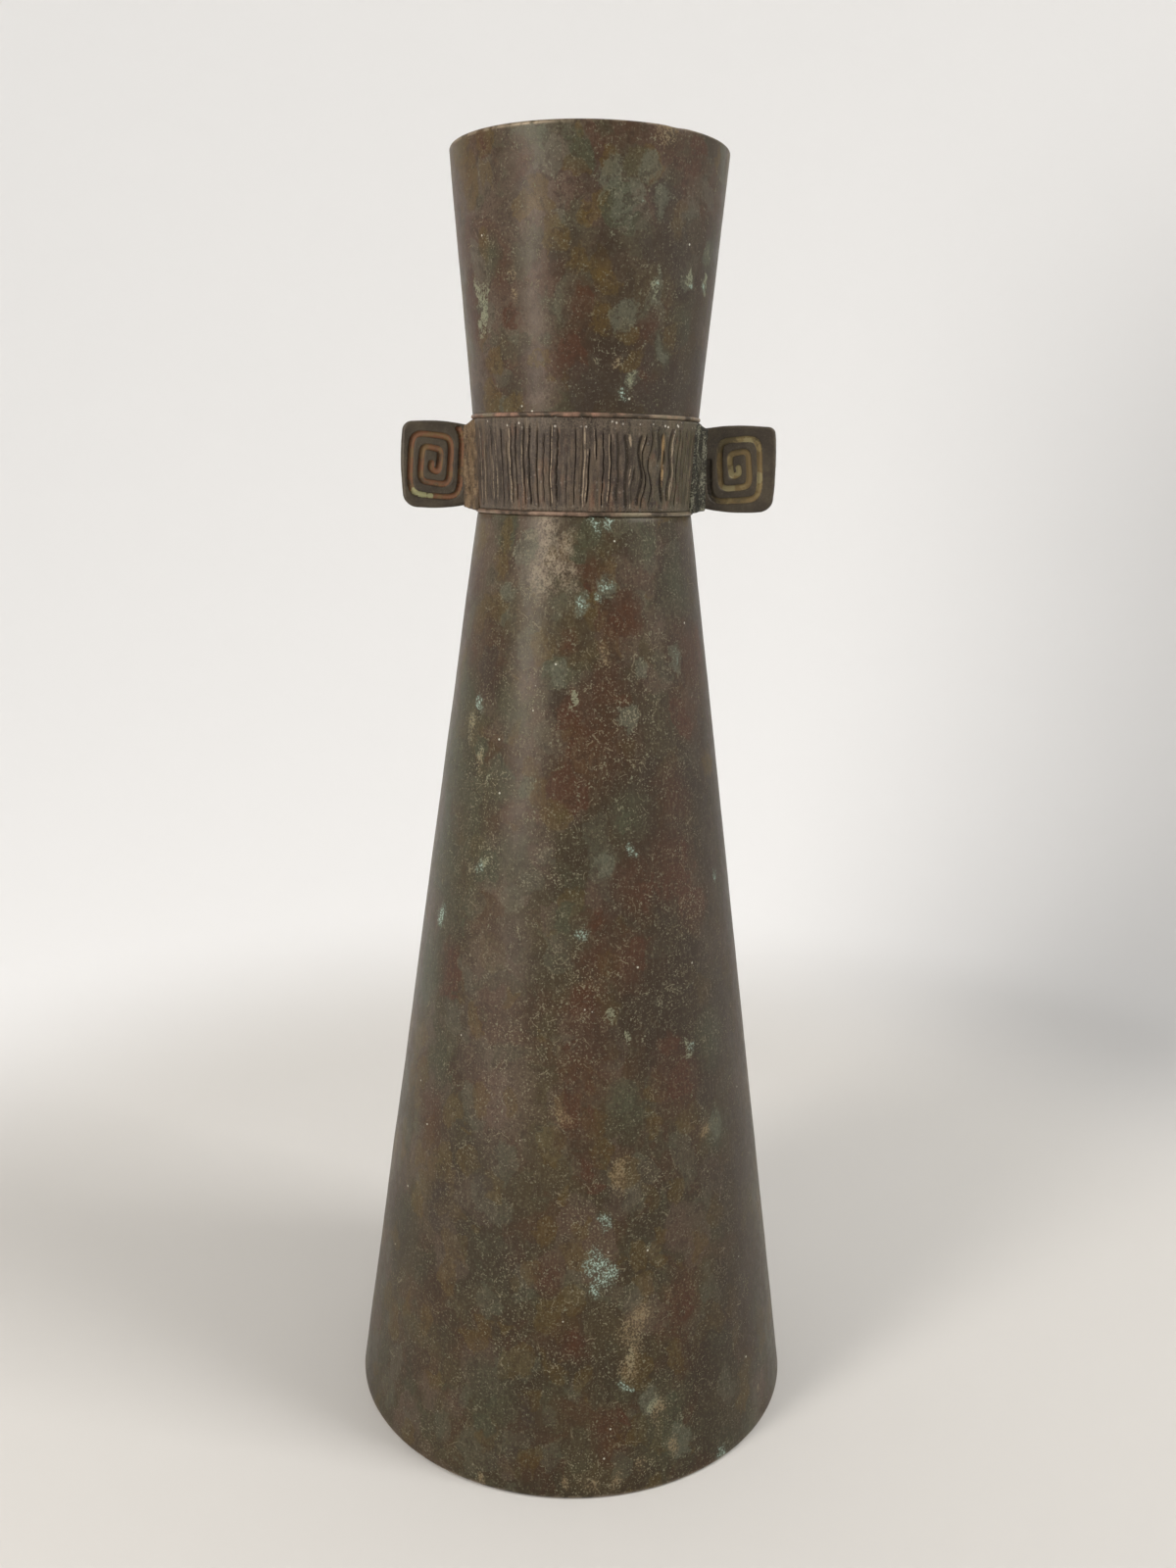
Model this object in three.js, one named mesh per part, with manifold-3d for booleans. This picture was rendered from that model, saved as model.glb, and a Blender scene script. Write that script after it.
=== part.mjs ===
// Ikebana vase in cast bronze: a tall hollow cone, a combed collar that carries two spiral ears,
// and a flared mouth.
// Millimetres, +Z up. The origin is the middle of the foot, on the surface that the vase stands on.
// The ears lie along X and the front of the vase faces -Y.
import * as THREE from "three";
import { mergeVertices } from "three/addons/utils/BufferGeometryUtils.js";
import Module from "manifold-3d";

const wasm = await Module();
wasm.setup();

// Body casting
const FOOT_DIAMETER = 100;
const BODY_HEIGHT = 200.6;
const BODY_TOP_DIAMETER = 44.9;
const BODY_WALL = 3;
const FOOT_EDGE_ROUND = 0.8;

// Base plate, let into the foot from below and soldered
const FOOT_RING_WIDTH = 4.5;
const FOOT_RECESS = 4;
const PLATE_THICKNESS = 2.5;
const LEDGE_WIDTH = 2.4;
const LEDGE_THICKNESS = 2.5;
const SOLDER_LEG = 1.8;
const SOLDER_THROAT = 0.65;

// Collar: a combed ring between two beads, with a spigot above and below
const COLLAR_HEIGHT = 17.9;
const BEAD_HEIGHT = 0.85;
const BEAD_PROUD = 0.35;
const SOCKET_WALL = 3.4;
const SOCKET_DEPTH = 6.5;
const SPIGOT_WALL = 1.6;
const COMB_GROOVES = 90;
const COMB_DEPTH = 0.55;
const COMB_MARGIN = 1.2;
const COMB_END_STRENGTH = 0.7;
const COMB_LIGHTEST_CUT = 0.45;
const COMB_RIDGE_WEAR = 0.2;
const COMB_WANDER = 0.5;
const MARK_COLUMN_STEP = 12.9898;
const MARK_ROW_STEP = 78.233;
const MARK_SCATTER = 43758.5453;

// Mouth casting
const MOUTH_HEIGHT = 50.7;
const NECK_DIAMETER = 46.9;
const MOUTH_DIAMETER = 56;
const MOUTH_WALL = 2.7;

// Ears: flat lugs with a spiral groove on both faces, tenoned into the collar and brazed
const LEFT_EAR_LENGTH = 13.8;
const RIGHT_EAR_LENGTH = 15.2;
const EAR_THICKNESS = 7;
const EAR_ROOT_MARGIN = 0.6;
const EAR_DROP = 0.3;
const EAR_FLARE = 0.5;
const EAR_TOP_CORNER = 2.4;
const EAR_LOW_CORNER = 3.6;
const EAR_BOW = 0.5;
const EAR_EDGE_ROUND = 0.6;
const TENON_SHOULDER = 4.2;
const TENON_CHEEK = 1.7;
const TENON_SETBACK = 0.5;
const TENON_LAP = 3;
const BRAZE_FILM = 0.5;
const BRAZE_LEG = 1;
const BRAZE_SPREAD = 1.8;
const BRAZE_LIP = 0.35;

// Spiral groove, the same on both ears and sized for the shorter one
const SPIRAL_TURNS = 2.6;
const SPIRAL_START_DEGREES = 135;
const SPIRAL_ROOT_MARGIN = 0.95;
const SPIRAL_TIP_MARGIN = 0.65;
const SPIRAL_TOP_MARGIN = 0.6;
const SPIRAL_LOW_MARGIN = 1.5;
const SPIRAL_EYE_WIDTH = 0.6;
const SPIRAL_EYE_HEIGHT = 2;
const SPIRAL_SQUARENESS = 5;
const GROOVE_WIDTH = 0.9;
const GROOVE_STEPS_PER_TURN = 36;
const GROOVE_SIDES = 8;

// Gap that solder or braze fills between fitted faces
const FIT_GAP = 0.25;

// Facets round a turned piece, and how far a cutting piece runs past what it cuts
const TURNED_FACETS = 72;
const CUT_OVERRUN = 1;

// Heights of the seams, from the foot up
const lowerSeam = BODY_HEIGHT;
const collarBottom = lowerSeam + BEAD_HEIGHT;
const collarTop = collarBottom + COLLAR_HEIGHT;
const upperSeam = collarTop + BEAD_HEIGHT;
const rimHeight = upperSeam + MOUTH_HEIGHT;

// Radii at the seams, and those of the spigots and the way through the collar
const footRadius = FOOT_DIAMETER / 2;
const bodyTopRadius = BODY_TOP_DIAMETER / 2;
const neckRadius = NECK_DIAMETER / 2;
const mouthRadius = MOUTH_DIAMETER / 2;
const socketRadius = Math.min(bodyTopRadius, neckRadius) - SOCKET_WALL;
const spigotRadius = socketRadius - FIT_GAP;
const boreRadius = spigotRadius - SPIGOT_WALL;
const plateSeatRadius = footRadius - FOOT_RING_WIDTH;

// Outside radius of the body, the collar and the mouth at a height
function radiusBetween(z, lowRadius, lowHeight, highRadius, highHeight) {
  return lowRadius + ((highRadius - lowRadius) * (z - lowHeight)) / (highHeight - lowHeight);
}
function bodyRadius(z) {
  return radiusBetween(z, footRadius, 0, bodyTopRadius, lowerSeam);
}
function collarRadius(z) {
  return radiusBetween(z, bodyTopRadius, lowerSeam, neckRadius, upperSeam);
}
function mouthOuterRadius(z) {
  return radiusBetween(z, neckRadius, upperSeam, mouthRadius, rimHeight);
}

// Places along the ear, measured outwards from the vase's axis
const earMiddle = (collarBottom + collarTop) / 2 - EAR_DROP;
const earRootHeight = COLLAR_HEIGHT - 2 * EAR_ROOT_MARGIN;
const earHeight = earRootHeight + 2 * EAR_FLARE;
const collarReach = Math.max(collarRadius(collarBottom), collarRadius(collarTop)) + FIT_GAP;
const brazeSeat = collarReach + BRAZE_FILM;
const earRoot = brazeSeat + FIT_GAP;
const tenonEnd = boreRadius + TENON_SETBACK;
const tenonHeight = earRootHeight - 2 * TENON_SHOULDER;
const tenonThickness = EAR_THICKNESS - 2 * TENON_CHEEK;
const spiralWidth = Math.min(LEFT_EAR_LENGTH, RIGHT_EAR_LENGTH) - SPIRAL_ROOT_MARGIN - SPIRAL_TIP_MARGIN;

// Points of a circular arc in a profile, from one angle to another in degrees
function arcPoints(centreX, centreY, radius, fromDegrees, toDegrees, steps = 3) {
  const points = [];
  for (let i = 0; i <= steps; i++) {
    const angle = THREE.MathUtils.degToRad(fromDegrees + ((toDegrees - fromDegrees) * i) / steps);
    points.push([centreX + radius * Math.cos(angle), centreY + radius * Math.sin(angle)]);
  }
  return points;
}

// A closed profile of [radius, height] points turned about the vase's axis
function turned(profile, facets = TURNED_FACETS) {
  const points = profile.map(([radius, height]) => new THREE.Vector2(radius, height));
  if (points[0].x > 0) points.push(points[0].clone());
  return new THREE.LatheGeometry(points, facets).rotateX(Math.PI / 2);
}

// Between three.js geometry and a solid that can be joined and cut
function solidOf(geometry) {
  const bare = geometry.clone();
  bare.deleteAttribute("normal");
  bare.deleteAttribute("uv");
  const merged = mergeVertices(bare, 1e-4);
  return new wasm.Manifold(
    new wasm.Mesh({
      numProp: 3,
      vertProperties: new Float32Array(merged.attributes.position.array),
      triVerts: new Uint32Array(merged.index.array),
    }),
  );
}
function geometryOf(solid) {
  const mesh = solid.getMesh();
  const geometry = new THREE.BufferGeometry();
  geometry.setAttribute("position", new THREE.BufferAttribute(mesh.vertProperties, 3));
  geometry.setIndex(new THREE.BufferAttribute(mesh.triVerts, 1));
  geometry.computeVertexNormals();
  return geometry;
}

// Body: a hollow cone with a rebated foot and a straight socket at its top
function bodyGeometry() {
  const ledgeBottom = FOOT_RECESS + PLATE_THICKNESS;
  const ledgeTop = ledgeBottom + LEDGE_THICKNESS;
  const wallStart = ledgeTop + LEDGE_WIDTH;
  const socketBottom = lowerSeam - SOCKET_DEPTH;
  const wallEnd = socketBottom - SOCKET_DEPTH;
  const edge = FOOT_EDGE_ROUND;
  return turned([
    [plateSeatRadius, 0],
    ...arcPoints(bodyRadius(edge) - edge, edge, edge, -90, 0),
    [bodyTopRadius, lowerSeam],
    [socketRadius, lowerSeam],
    [socketRadius, socketBottom],
    [bodyRadius(wallEnd) - BODY_WALL, wallEnd],
    [bodyRadius(wallStart) - BODY_WALL, wallStart],
    [plateSeatRadius - LEDGE_WIDTH, ledgeTop],
    [plateSeatRadius - LEDGE_WIDTH, ledgeBottom],
    [plateSeatRadius, ledgeBottom],
  ]);
}

// Base plate: a disc that seats against the ledge, and the ring of solder that seals it from below
function basePlateGeometry() {
  const radius = plateSeatRadius - FIT_GAP;
  const top = FOOT_RECESS + PLATE_THICKNESS;
  return turned([
    [0, FOOT_RECESS],
    [radius, FOOT_RECESS],
    [radius, top],
    [0, top],
  ]);
}
function baseSolderGeometry() {
  const outside = plateSeatRadius - FIT_GAP;
  const seat = FOOT_RECESS - FIT_GAP;
  const leg = Math.min(SOLDER_LEG, seat - FIT_GAP);
  const throat = Math.min(SOLDER_THROAT, leg / 2);
  return turned([
    [outside, seat - leg],
    [outside, seat],
    [outside - leg, seat],
    [outside - throat, seat - throat],
  ]);
}

// Bead: a thin flat ring round a spigot, with a rounded edge that stands proud of the seam
function beadGeometry(bottom, seamRadius) {
  const half = BEAD_HEIGHT / 2;
  const shoulder = seamRadius + BEAD_PROUD - half;
  return turned([
    [socketRadius, bottom],
    ...arcPoints(shoulder, bottom + half, half, -90, 90, 4),
    [socketRadius, bottom + BEAD_HEIGHT],
  ]);
}

// A repeatable number from 0 to 1 for a place on the combed ring
function toolMark(column, row) {
  const value = Math.sin(column * MARK_COLUMN_STEP + row * MARK_ROW_STEP) * MARK_SCATTER;
  return value - Math.floor(value);
}

// Combed drum: upright tool marks of uneven depth that wander a little and run out before the edges
function combedDrumGeometry() {
  const columns = 2 * COMB_GROOVES;
  const levels = [
    [0, 0],
    [COMB_MARGIN, COMB_END_STRENGTH],
    [COLLAR_HEIGHT / 2, 1],
    [COLLAR_HEIGHT - COMB_MARGIN, COMB_END_STRENGTH],
    [COLLAR_HEIGHT, 0],
  ];
  const positions = [];
  levels.forEach(([level, strength], row) => {
    const z = collarBottom + level;
    for (let column = 0; column < columns; column++) {
      const mark = toolMark(column, row);
      const isGroove = column % 2 === 1;
      const cut = isGroove ? THREE.MathUtils.lerp(COMB_LIGHTEST_CUT, 1, mark) : COMB_RIDGE_WEAR * mark;
      const wander = strength * COMB_WANDER * (toolMark(row, column) - 0.5);
      const angle = ((column + wander) / columns) * 2 * Math.PI;
      const radius = collarRadius(z) - strength * COMB_DEPTH * cut;
      positions.push(radius * Math.cos(angle), radius * Math.sin(angle), z);
    }
  });
  const rows = levels.length;
  const bottomCentre = rows * columns;
  positions.push(0, 0, collarBottom, 0, 0, collarTop);
  const faces = [];
  for (let column = 0; column < columns; column++) {
    const next = (column + 1) % columns;
    for (let row = 0; row < rows - 1; row++) {
      const low = row * columns;
      const high = low + columns;
      faces.push(low + column, low + next, high + next, low + column, high + next, high + column);
    }
    const topRow = (rows - 1) * columns;
    faces.push(bottomCentre, next, column, bottomCentre + 1, topRow + column, topRow + next);
  }
  const drum = new THREE.BufferGeometry();
  drum.setAttribute("position", new THREE.Float32BufferAttribute(positions, 3));
  drum.setIndex(faces);
  return drum;
}

// A box along X from one radius to another, at the height of the ears
function tenonBox(inner, outer, slack) {
  const box = new THREE.BoxGeometry(outer - inner, tenonThickness + 2 * slack, tenonHeight + 2 * slack);
  return box.translate((inner + outer) / 2, 0, earMiddle);
}

// Collar: the combed drum with a spigot above and below, a way through it, and a mortise for each ear
function collarGeometry() {
  const spigotReach = SOCKET_DEPTH - FIT_GAP;
  const low = lowerSeam - spigotReach;
  const high = upperSeam + spigotReach;
  const spigots = turned([
    [0, low],
    [spigotRadius, low],
    [spigotRadius, high],
    [0, high],
  ]);
  const way = turned([
    [0, low - CUT_OVERRUN],
    [boreRadius, low - CUT_OVERRUN],
    [boreRadius, high + CUT_OVERRUN],
    [0, high + CUT_OVERRUN],
  ]);
  const outside = Math.max(neckRadius, bodyTopRadius) + CUT_OVERRUN;
  const mortises = tenonBox(-outside, outside, FIT_GAP);
  return geometryOf(
    solidOf(combedDrumGeometry()).add(solidOf(spigots)).subtract(solidOf(way)).subtract(solidOf(mortises)),
  );
}

// Mouth: a thin flared cone with a full round rim and a straight socket at its bottom
function mouthGeometry() {
  const socketTop = upperSeam + SOCKET_DEPTH;
  const wallStart = socketTop + SOCKET_DEPTH;
  const rimRound = MOUTH_WALL / 2;
  const rimStart = rimHeight - rimRound;
  return turned([
    [socketRadius, upperSeam],
    [neckRadius, upperSeam],
    ...arcPoints(mouthOuterRadius(rimStart) - rimRound, rimStart, rimRound, 0, 180, 6),
    [mouthOuterRadius(wallStart) - MOUTH_WALL, wallStart],
    [socketRadius, socketTop],
  ]);
}

// Outline of an ear, seen from the front: x outwards from the axis, y up from the ear's middle
function earOutline(length) {
  const inset = EAR_EDGE_ROUND;
  const root = earRoot + inset;
  const tip = earRoot + length - inset;
  const rootHalf = earRootHeight / 2 - inset;
  const half = earHeight / 2 - inset;
  const shape = new THREE.Shape();
  shape.moveTo(root, -rootHalf);
  shape.quadraticCurveTo((root + tip) / 2, -half, tip - EAR_LOW_CORNER, -half);
  shape.quadraticCurveTo(tip - EAR_BOW, -half, tip - EAR_BOW, -half + EAR_LOW_CORNER);
  shape.quadraticCurveTo(tip + EAR_BOW, 0, tip - EAR_BOW, half - EAR_TOP_CORNER);
  shape.quadraticCurveTo(tip - EAR_BOW, half, tip - EAR_TOP_CORNER, half);
  shape.quadraticCurveTo((root + tip) / 2, half, root, rootHalf);
  shape.closePath();
  return shape;
}

// Path of the spiral groove on one face: a rounded square that winds inwards from the top of the root
class EarSpiral extends THREE.Curve {
  constructor(face) {
    super();
    this.face = face;
    this.halfWidth = spiralWidth / 2;
    this.halfHeight = (earHeight - SPIRAL_TOP_MARGIN - SPIRAL_LOW_MARGIN) / 2;
    this.eyeX = earRoot + SPIRAL_ROOT_MARGIN + this.halfWidth;
    this.eyeZ = earMiddle - earHeight / 2 + SPIRAL_LOW_MARGIN + this.halfHeight;
  }
  getPoint(t, target = new THREE.Vector3()) {
    const angle = THREE.MathUtils.degToRad(SPIRAL_START_DEGREES + 360 * SPIRAL_TURNS * t);
    const across = Math.cos(angle);
    const up = Math.sin(angle);
    const power = SPIRAL_SQUARENESS;
    const reach = (Math.abs(across) ** power + Math.abs(up) ** power) ** (-1 / power);
    const width = THREE.MathUtils.lerp(this.halfWidth, SPIRAL_EYE_WIDTH / 2, t);
    const height = THREE.MathUtils.lerp(this.halfHeight, SPIRAL_EYE_HEIGHT / 2, t);
    return target.set(this.eyeX + width * reach * across, this.face, this.eyeZ + height * reach * up);
  }
}

// Ear, made on the +X side: a bevelled plate with a tenon, and a groove cut into the front and the back
function earGeometry(length) {
  const plate = new THREE.ExtrudeGeometry(earOutline(length), {
    depth: EAR_THICKNESS - 2 * EAR_EDGE_ROUND,
    bevelEnabled: true,
    bevelThickness: EAR_EDGE_ROUND,
    bevelSize: EAR_EDGE_ROUND,
    bevelSegments: 2,
    curveSegments: 6,
  });
  plate.rotateX(Math.PI / 2);
  plate.translate(0, EAR_THICKNESS / 2 - EAR_EDGE_ROUND, earMiddle);
  const tenon = tenonBox(tenonEnd, earRoot + TENON_LAP, 0);
  const section = new THREE.Shape().absarc(0, 0, GROOVE_WIDTH / 2, 0, 2 * Math.PI);
  const steps = Math.round(SPIRAL_TURNS * GROOVE_STEPS_PER_TURN);
  let ear = solidOf(plate).add(solidOf(tenon));
  for (const face of [-EAR_THICKNESS / 2, EAR_THICKNESS / 2]) {
    const groove = new THREE.ExtrudeGeometry(section, {
      steps,
      curveSegments: GROOVE_SIDES / 2,
      bevelEnabled: false,
      extrudePath: new EarSpiral(face),
    });
    ear = ear.subtract(solidOf(groove));
  }
  return geometryOf(ear);
}

// Braze at an ear's root, made on the +X side: a film against the collar, with a hollow fillet
// along each face
function brazeGeometry() {
  const bottom = earMiddle - earRootHeight / 2;
  const inside = EAR_THICKNESS / 2 + FIT_GAP;
  const lip = inside + BRAZE_LIP;
  const spread = inside + BRAZE_SPREAD;
  const tip = brazeSeat + BRAZE_LEG;
  const foot = Math.sqrt(collarReach ** 2 - spread ** 2) + BRAZE_LIP;
  const shape = new THREE.Shape();
  shape.moveTo(boreRadius, -spread);
  shape.lineTo(foot, -spread);
  shape.quadraticCurveTo(foot + BRAZE_LIP, -lip, tip, -lip);
  shape.lineTo(tip, -inside);
  shape.lineTo(brazeSeat, -inside);
  shape.lineTo(brazeSeat, inside);
  shape.lineTo(tip, inside);
  shape.lineTo(tip, lip);
  shape.quadraticCurveTo(foot + BRAZE_LIP, lip, foot, spread);
  shape.lineTo(boreRadius, spread);
  shape.closePath();
  const fillets = new THREE.ExtrudeGeometry(shape, {
    depth: earRootHeight,
    bevelEnabled: false,
    curveSegments: 6,
  });
  fillets.translate(0, 0, bottom);
  const collarClear = turned([
    [0, lowerSeam],
    [collarRadius(lowerSeam) + FIT_GAP, lowerSeam],
    [collarRadius(upperSeam) + FIT_GAP, upperSeam],
    [0, upperSeam],
  ]);
  const tenonClear = tenonBox(boreRadius, tip + CUT_OVERRUN, FIT_GAP);
  return geometryOf(solidOf(fillets).subtract(solidOf(collarClear)).subtract(solidOf(tenonClear)));
}

// Finishes
function finish(color, roughness, metalness) {
  return new THREE.MeshStandardMaterial({ color, roughness, metalness });
}
const brownPatina = finish(0x5a4e3f, 0.45, 0.6);
const collarPatina = finish(0x54473c, 0.6, 0.6);
const earPatina = finish(0x4a423a, 0.5, 0.6);
const bareCopper = finish(0x9a7a62, 0.45, 0.8);
const brazeMetal = finish(0x6e5540, 0.6, 0.7);
const dullSolder = finish(0x6a665f, 0.6, 0.6);

function piece(name, geometry, material) {
  const mesh = new THREE.Mesh(geometry, material);
  mesh.name = name;
  return mesh;
}

const vase = new THREE.Group();
vase.add(
  piece("lower_body", bodyGeometry(), brownPatina),
  piece("base_plate", basePlateGeometry(), brownPatina),
  piece("base_solder", baseSolderGeometry(), dullSolder),
  piece("lower_bead", beadGeometry(lowerSeam, collarRadius(collarBottom)), bareCopper),
  piece("collar_band", collarGeometry(), collarPatina),
  piece("upper_bead", beadGeometry(collarTop, collarRadius(collarTop)), bareCopper),
  piece("mouth_section", mouthGeometry(), brownPatina),
);

// The two ears stand half a turn apart about the vase's axis, and one is a little longer
for (const [side, turn, length] of [
  ["right", 0, RIGHT_EAR_LENGTH],
  ["left", Math.PI, LEFT_EAR_LENGTH],
]) {
  const ear = new THREE.Group();
  ear.rotation.z = turn;
  ear.add(
    piece(`${side}_ear`, earGeometry(length), earPatina),
    piece(`${side}_ear_braze`, brazeGeometry(), brazeMetal),
  );
  vase.add(ear);
}

export default vase;
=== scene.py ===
import functools
import math
import random

import bmesh
import bpy
from mathutils import Matrix, Vector, kdtree


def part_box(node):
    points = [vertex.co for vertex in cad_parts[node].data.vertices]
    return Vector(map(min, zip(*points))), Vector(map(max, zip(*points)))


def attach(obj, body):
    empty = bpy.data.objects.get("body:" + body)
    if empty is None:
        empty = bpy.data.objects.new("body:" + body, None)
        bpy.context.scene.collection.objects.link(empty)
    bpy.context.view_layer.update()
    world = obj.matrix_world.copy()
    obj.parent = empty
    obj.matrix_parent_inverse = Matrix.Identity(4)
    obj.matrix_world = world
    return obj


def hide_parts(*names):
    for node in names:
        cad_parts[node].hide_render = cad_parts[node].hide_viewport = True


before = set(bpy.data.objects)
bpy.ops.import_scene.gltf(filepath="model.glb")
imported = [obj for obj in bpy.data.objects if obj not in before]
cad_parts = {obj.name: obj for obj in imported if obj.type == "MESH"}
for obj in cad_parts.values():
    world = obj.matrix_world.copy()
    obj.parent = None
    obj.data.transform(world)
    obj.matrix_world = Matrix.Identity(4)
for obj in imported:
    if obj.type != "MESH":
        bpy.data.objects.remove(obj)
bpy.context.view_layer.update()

MM = 0.001

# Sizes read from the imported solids
def ring_radius(node, height):
    """Outside radius of a turned solid at one of its seams."""
    seam = [v.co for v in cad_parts[node].data.vertices if abs(v.co.z - height) < 0.05 * MM]
    return max(math.hypot(point.x, point.y) for point in seam)


LOWER_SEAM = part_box("lower_body")[1].z
COLLAR_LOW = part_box("lower_bead")[1].z
COLLAR_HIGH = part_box("upper_bead")[0].z
UPPER_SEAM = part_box("upper_bead")[1].z
RIM_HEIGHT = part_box("mouth_section")[1].z
SPIGOT_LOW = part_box("collar_band")[0].z
SPIGOT_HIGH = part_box("collar_band")[1].z
FOOT_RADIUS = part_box("lower_body")[1].x
BODY_TOP_RADIUS = ring_radius("lower_body", LOWER_SEAM)
NECK_RADIUS = ring_radius("mouth_section", UPPER_SEAM)
RIM_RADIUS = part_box("mouth_section")[1].x
SEAM_STEP = 0.04 * MM
COLLAR_LOW_RADIUS = BODY_TOP_RADIUS + SEAM_STEP
COLLAR_HIGH_RADIUS = NECK_RADIUS - SEAM_STEP
LOWER_BEAD_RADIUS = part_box("lower_bead")[1].x
UPPER_BEAD_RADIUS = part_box("upper_bead")[1].x
LEFT, RIGHT = -1, 1
EAR_TIPS = {RIGHT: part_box("right_ear")[1].x, LEFT: -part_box("left_ear")[0].x}
EAR_HALF_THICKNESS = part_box("right_ear")[1].y
EAR_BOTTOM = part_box("right_ear")[0].z
EAR_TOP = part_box("right_ear")[1].z
EAR_MIDDLE = (EAR_BOTTOM + EAR_TOP) / 2
BRAZE_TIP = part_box("right_ear_braze")[1].x
PLATE_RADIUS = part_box("base_plate")[1].x
PLATE_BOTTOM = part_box("base_plate")[0].z
PLATE_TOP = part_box("base_plate")[1].z
SOLDER_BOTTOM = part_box("base_solder")[0].z
SOLDER_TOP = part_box("base_solder")[1].z

# Sizes of what the outside boxes don't give
FOOT_EDGE = 0.8 * MM
FOOT_RING_RADIUS = 45.5 * MM
LEDGE_RADIUS = 43.1 * MM
LEDGE_TOP = 9.0 * MM
BODY_WALL = 3.0 * MM
MOUTH_WALL = 2.7 * MM
SOCKET_RADIUS = 19.05 * MM
SOCKET_DEPTH = 6.5 * MM
SPIGOT_RADIUS = 18.8 * MM
BORE_RADIUS = 17.2 * MM
RIM_ROUND = MOUTH_WALL / 2
RIM_EDGE = 0.5 * MM


def between(height, low_radius, low_height, high_radius, high_height):
    share = (height - low_height) / (high_height - low_height)
    return low_radius + (high_radius - low_radius) * share


def body_radius(height):
    return between(height, FOOT_RADIUS, FOOT_EDGE, BODY_TOP_RADIUS, LOWER_SEAM)


def mouth_radius(height):
    return between(height, NECK_RADIUS, UPPER_SEAM, RIM_RADIUS, RIM_HEIGHT - RIM_ROUND)


def collar_radius(height):
    return between(height, COLLAR_LOW_RADIUS, COLLAR_LOW, COLLAR_HIGH_RADIUS, COLLAR_HIGH)


# Working at the bench: selecting, turning, finishing
def clear_selection():
    if bpy.context.mode != "OBJECT":
        bpy.ops.object.mode_set(mode="OBJECT")
    bpy.ops.object.select_all(action="DESELECT")


def work_on(piece):
    clear_selection()
    piece.select_set(True)
    bpy.context.view_layer.objects.active = piece


def settle(piece):
    """Put the piece's place into its mesh, with its object at the origin."""
    work_on(piece)
    bpy.ops.object.transform_apply(location=True, rotation=True, scale=True)


def apply_modifier(piece, kind, **settings):
    work_on(piece)
    modifier = piece.modifiers.new(kind.lower(), kind)
    for name, value in settings.items():
        setattr(modifier, name, value)
    bpy.ops.object.modifier_apply(modifier=modifier.name)


def pick(piece, kind, wanted):
    """In edit mode, select only the faces or the edges that the test wants."""
    bpy.ops.mesh.select_mode(type=kind)
    bpy.ops.mesh.select_all(action="DESELECT")
    mesh = bmesh.from_edit_mesh(piece.data)
    for part in mesh.faces if kind == "FACE" else mesh.edges:
        part.select = wanted(part)
    mesh.select_flush_mode()
    bmesh.update_edit_mesh(piece.data)


def open_piece(name, scale=(1, 1, 1)):
    """Name the piece just added, settle it, and open it for editing."""
    piece = bpy.context.object
    piece.name = name
    piece.scale = scale
    settle(piece)
    bpy.ops.object.mode_set(mode="EDIT")
    return piece


def open_block(name, near, far, half_width, bottom, top):
    """A plain block to the right of the axis, open for editing."""
    clear_selection()
    length = far - near
    bpy.ops.mesh.primitive_cube_add(size=1, location=(near + length / 2, 0, (bottom + top) / 2))
    return open_piece(name, (length, 2 * half_width, top - bottom))


def close_piece(inside=False):
    """Turn all faces one way, and leave edit mode."""
    bpy.ops.mesh.select_all(action="SELECT")
    bpy.ops.mesh.normals_make_consistent(inside=inside)
    bpy.ops.object.mode_set(mode="OBJECT")


def draw_out(section):
    """Draw the selected ring out from corner to corner of a section."""
    for (radius, height), (next_radius, next_height) in zip(section, section[1:]):
        rise = (0, 0, next_height - height)
        bpy.ops.mesh.extrude_region_move(TRANSFORM_OT_translate={"value": rise})
        widen = next_radius / radius
        bpy.ops.transform.resize(value=(widen, widen, 1), center_override=(0, 0, next_height))


def put_on_side(piece, side):
    """Turn a piece made on the right round to the left, if it belongs there."""
    if side == LEFT:
        piece.data.transform(Matrix.Rotation(math.pi, 4, "Z"))


def arc(radius, height, size, start, end, steps):
    """Points of a round corner in a section, from one angle to another in degrees."""
    points = []
    for step in range(steps + 1):
        angle = math.radians(start + (end - start) * step / steps)
        points.append((radius + size * math.cos(angle), height + size * math.sin(angle)))
    return points


def with_rows(start, end, spacing):
    """Points from one corner of a section to the next, no further apart than the spacing."""
    rows = max(1, math.ceil(math.dist(start, end) / spacing))
    return [
        (start[0] + (end[0] - start[0]) * row / rows, start[1] + (end[1] - start[1]) * row / rows)
        for row in range(rows + 1)
    ]


def turn(name, section, columns):
    """Turn a closed section about the axis: one ring drawn out from corner to corner, then bridged."""
    clear_selection()
    radius, height = section[0]
    bpy.ops.mesh.primitive_circle_add(vertices=columns, radius=radius, location=(0, 0, height))
    piece = open_piece(name)
    bpy.ops.mesh.select_mode(type="EDGE")
    bpy.ops.mesh.select_all(action="SELECT")
    draw_out(section)
    bpy.ops.mesh.select_all(action="DESELECT")
    bpy.ops.mesh.select_non_manifold()
    bpy.ops.mesh.bridge_edge_loops()
    close_piece()
    return piece


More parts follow.
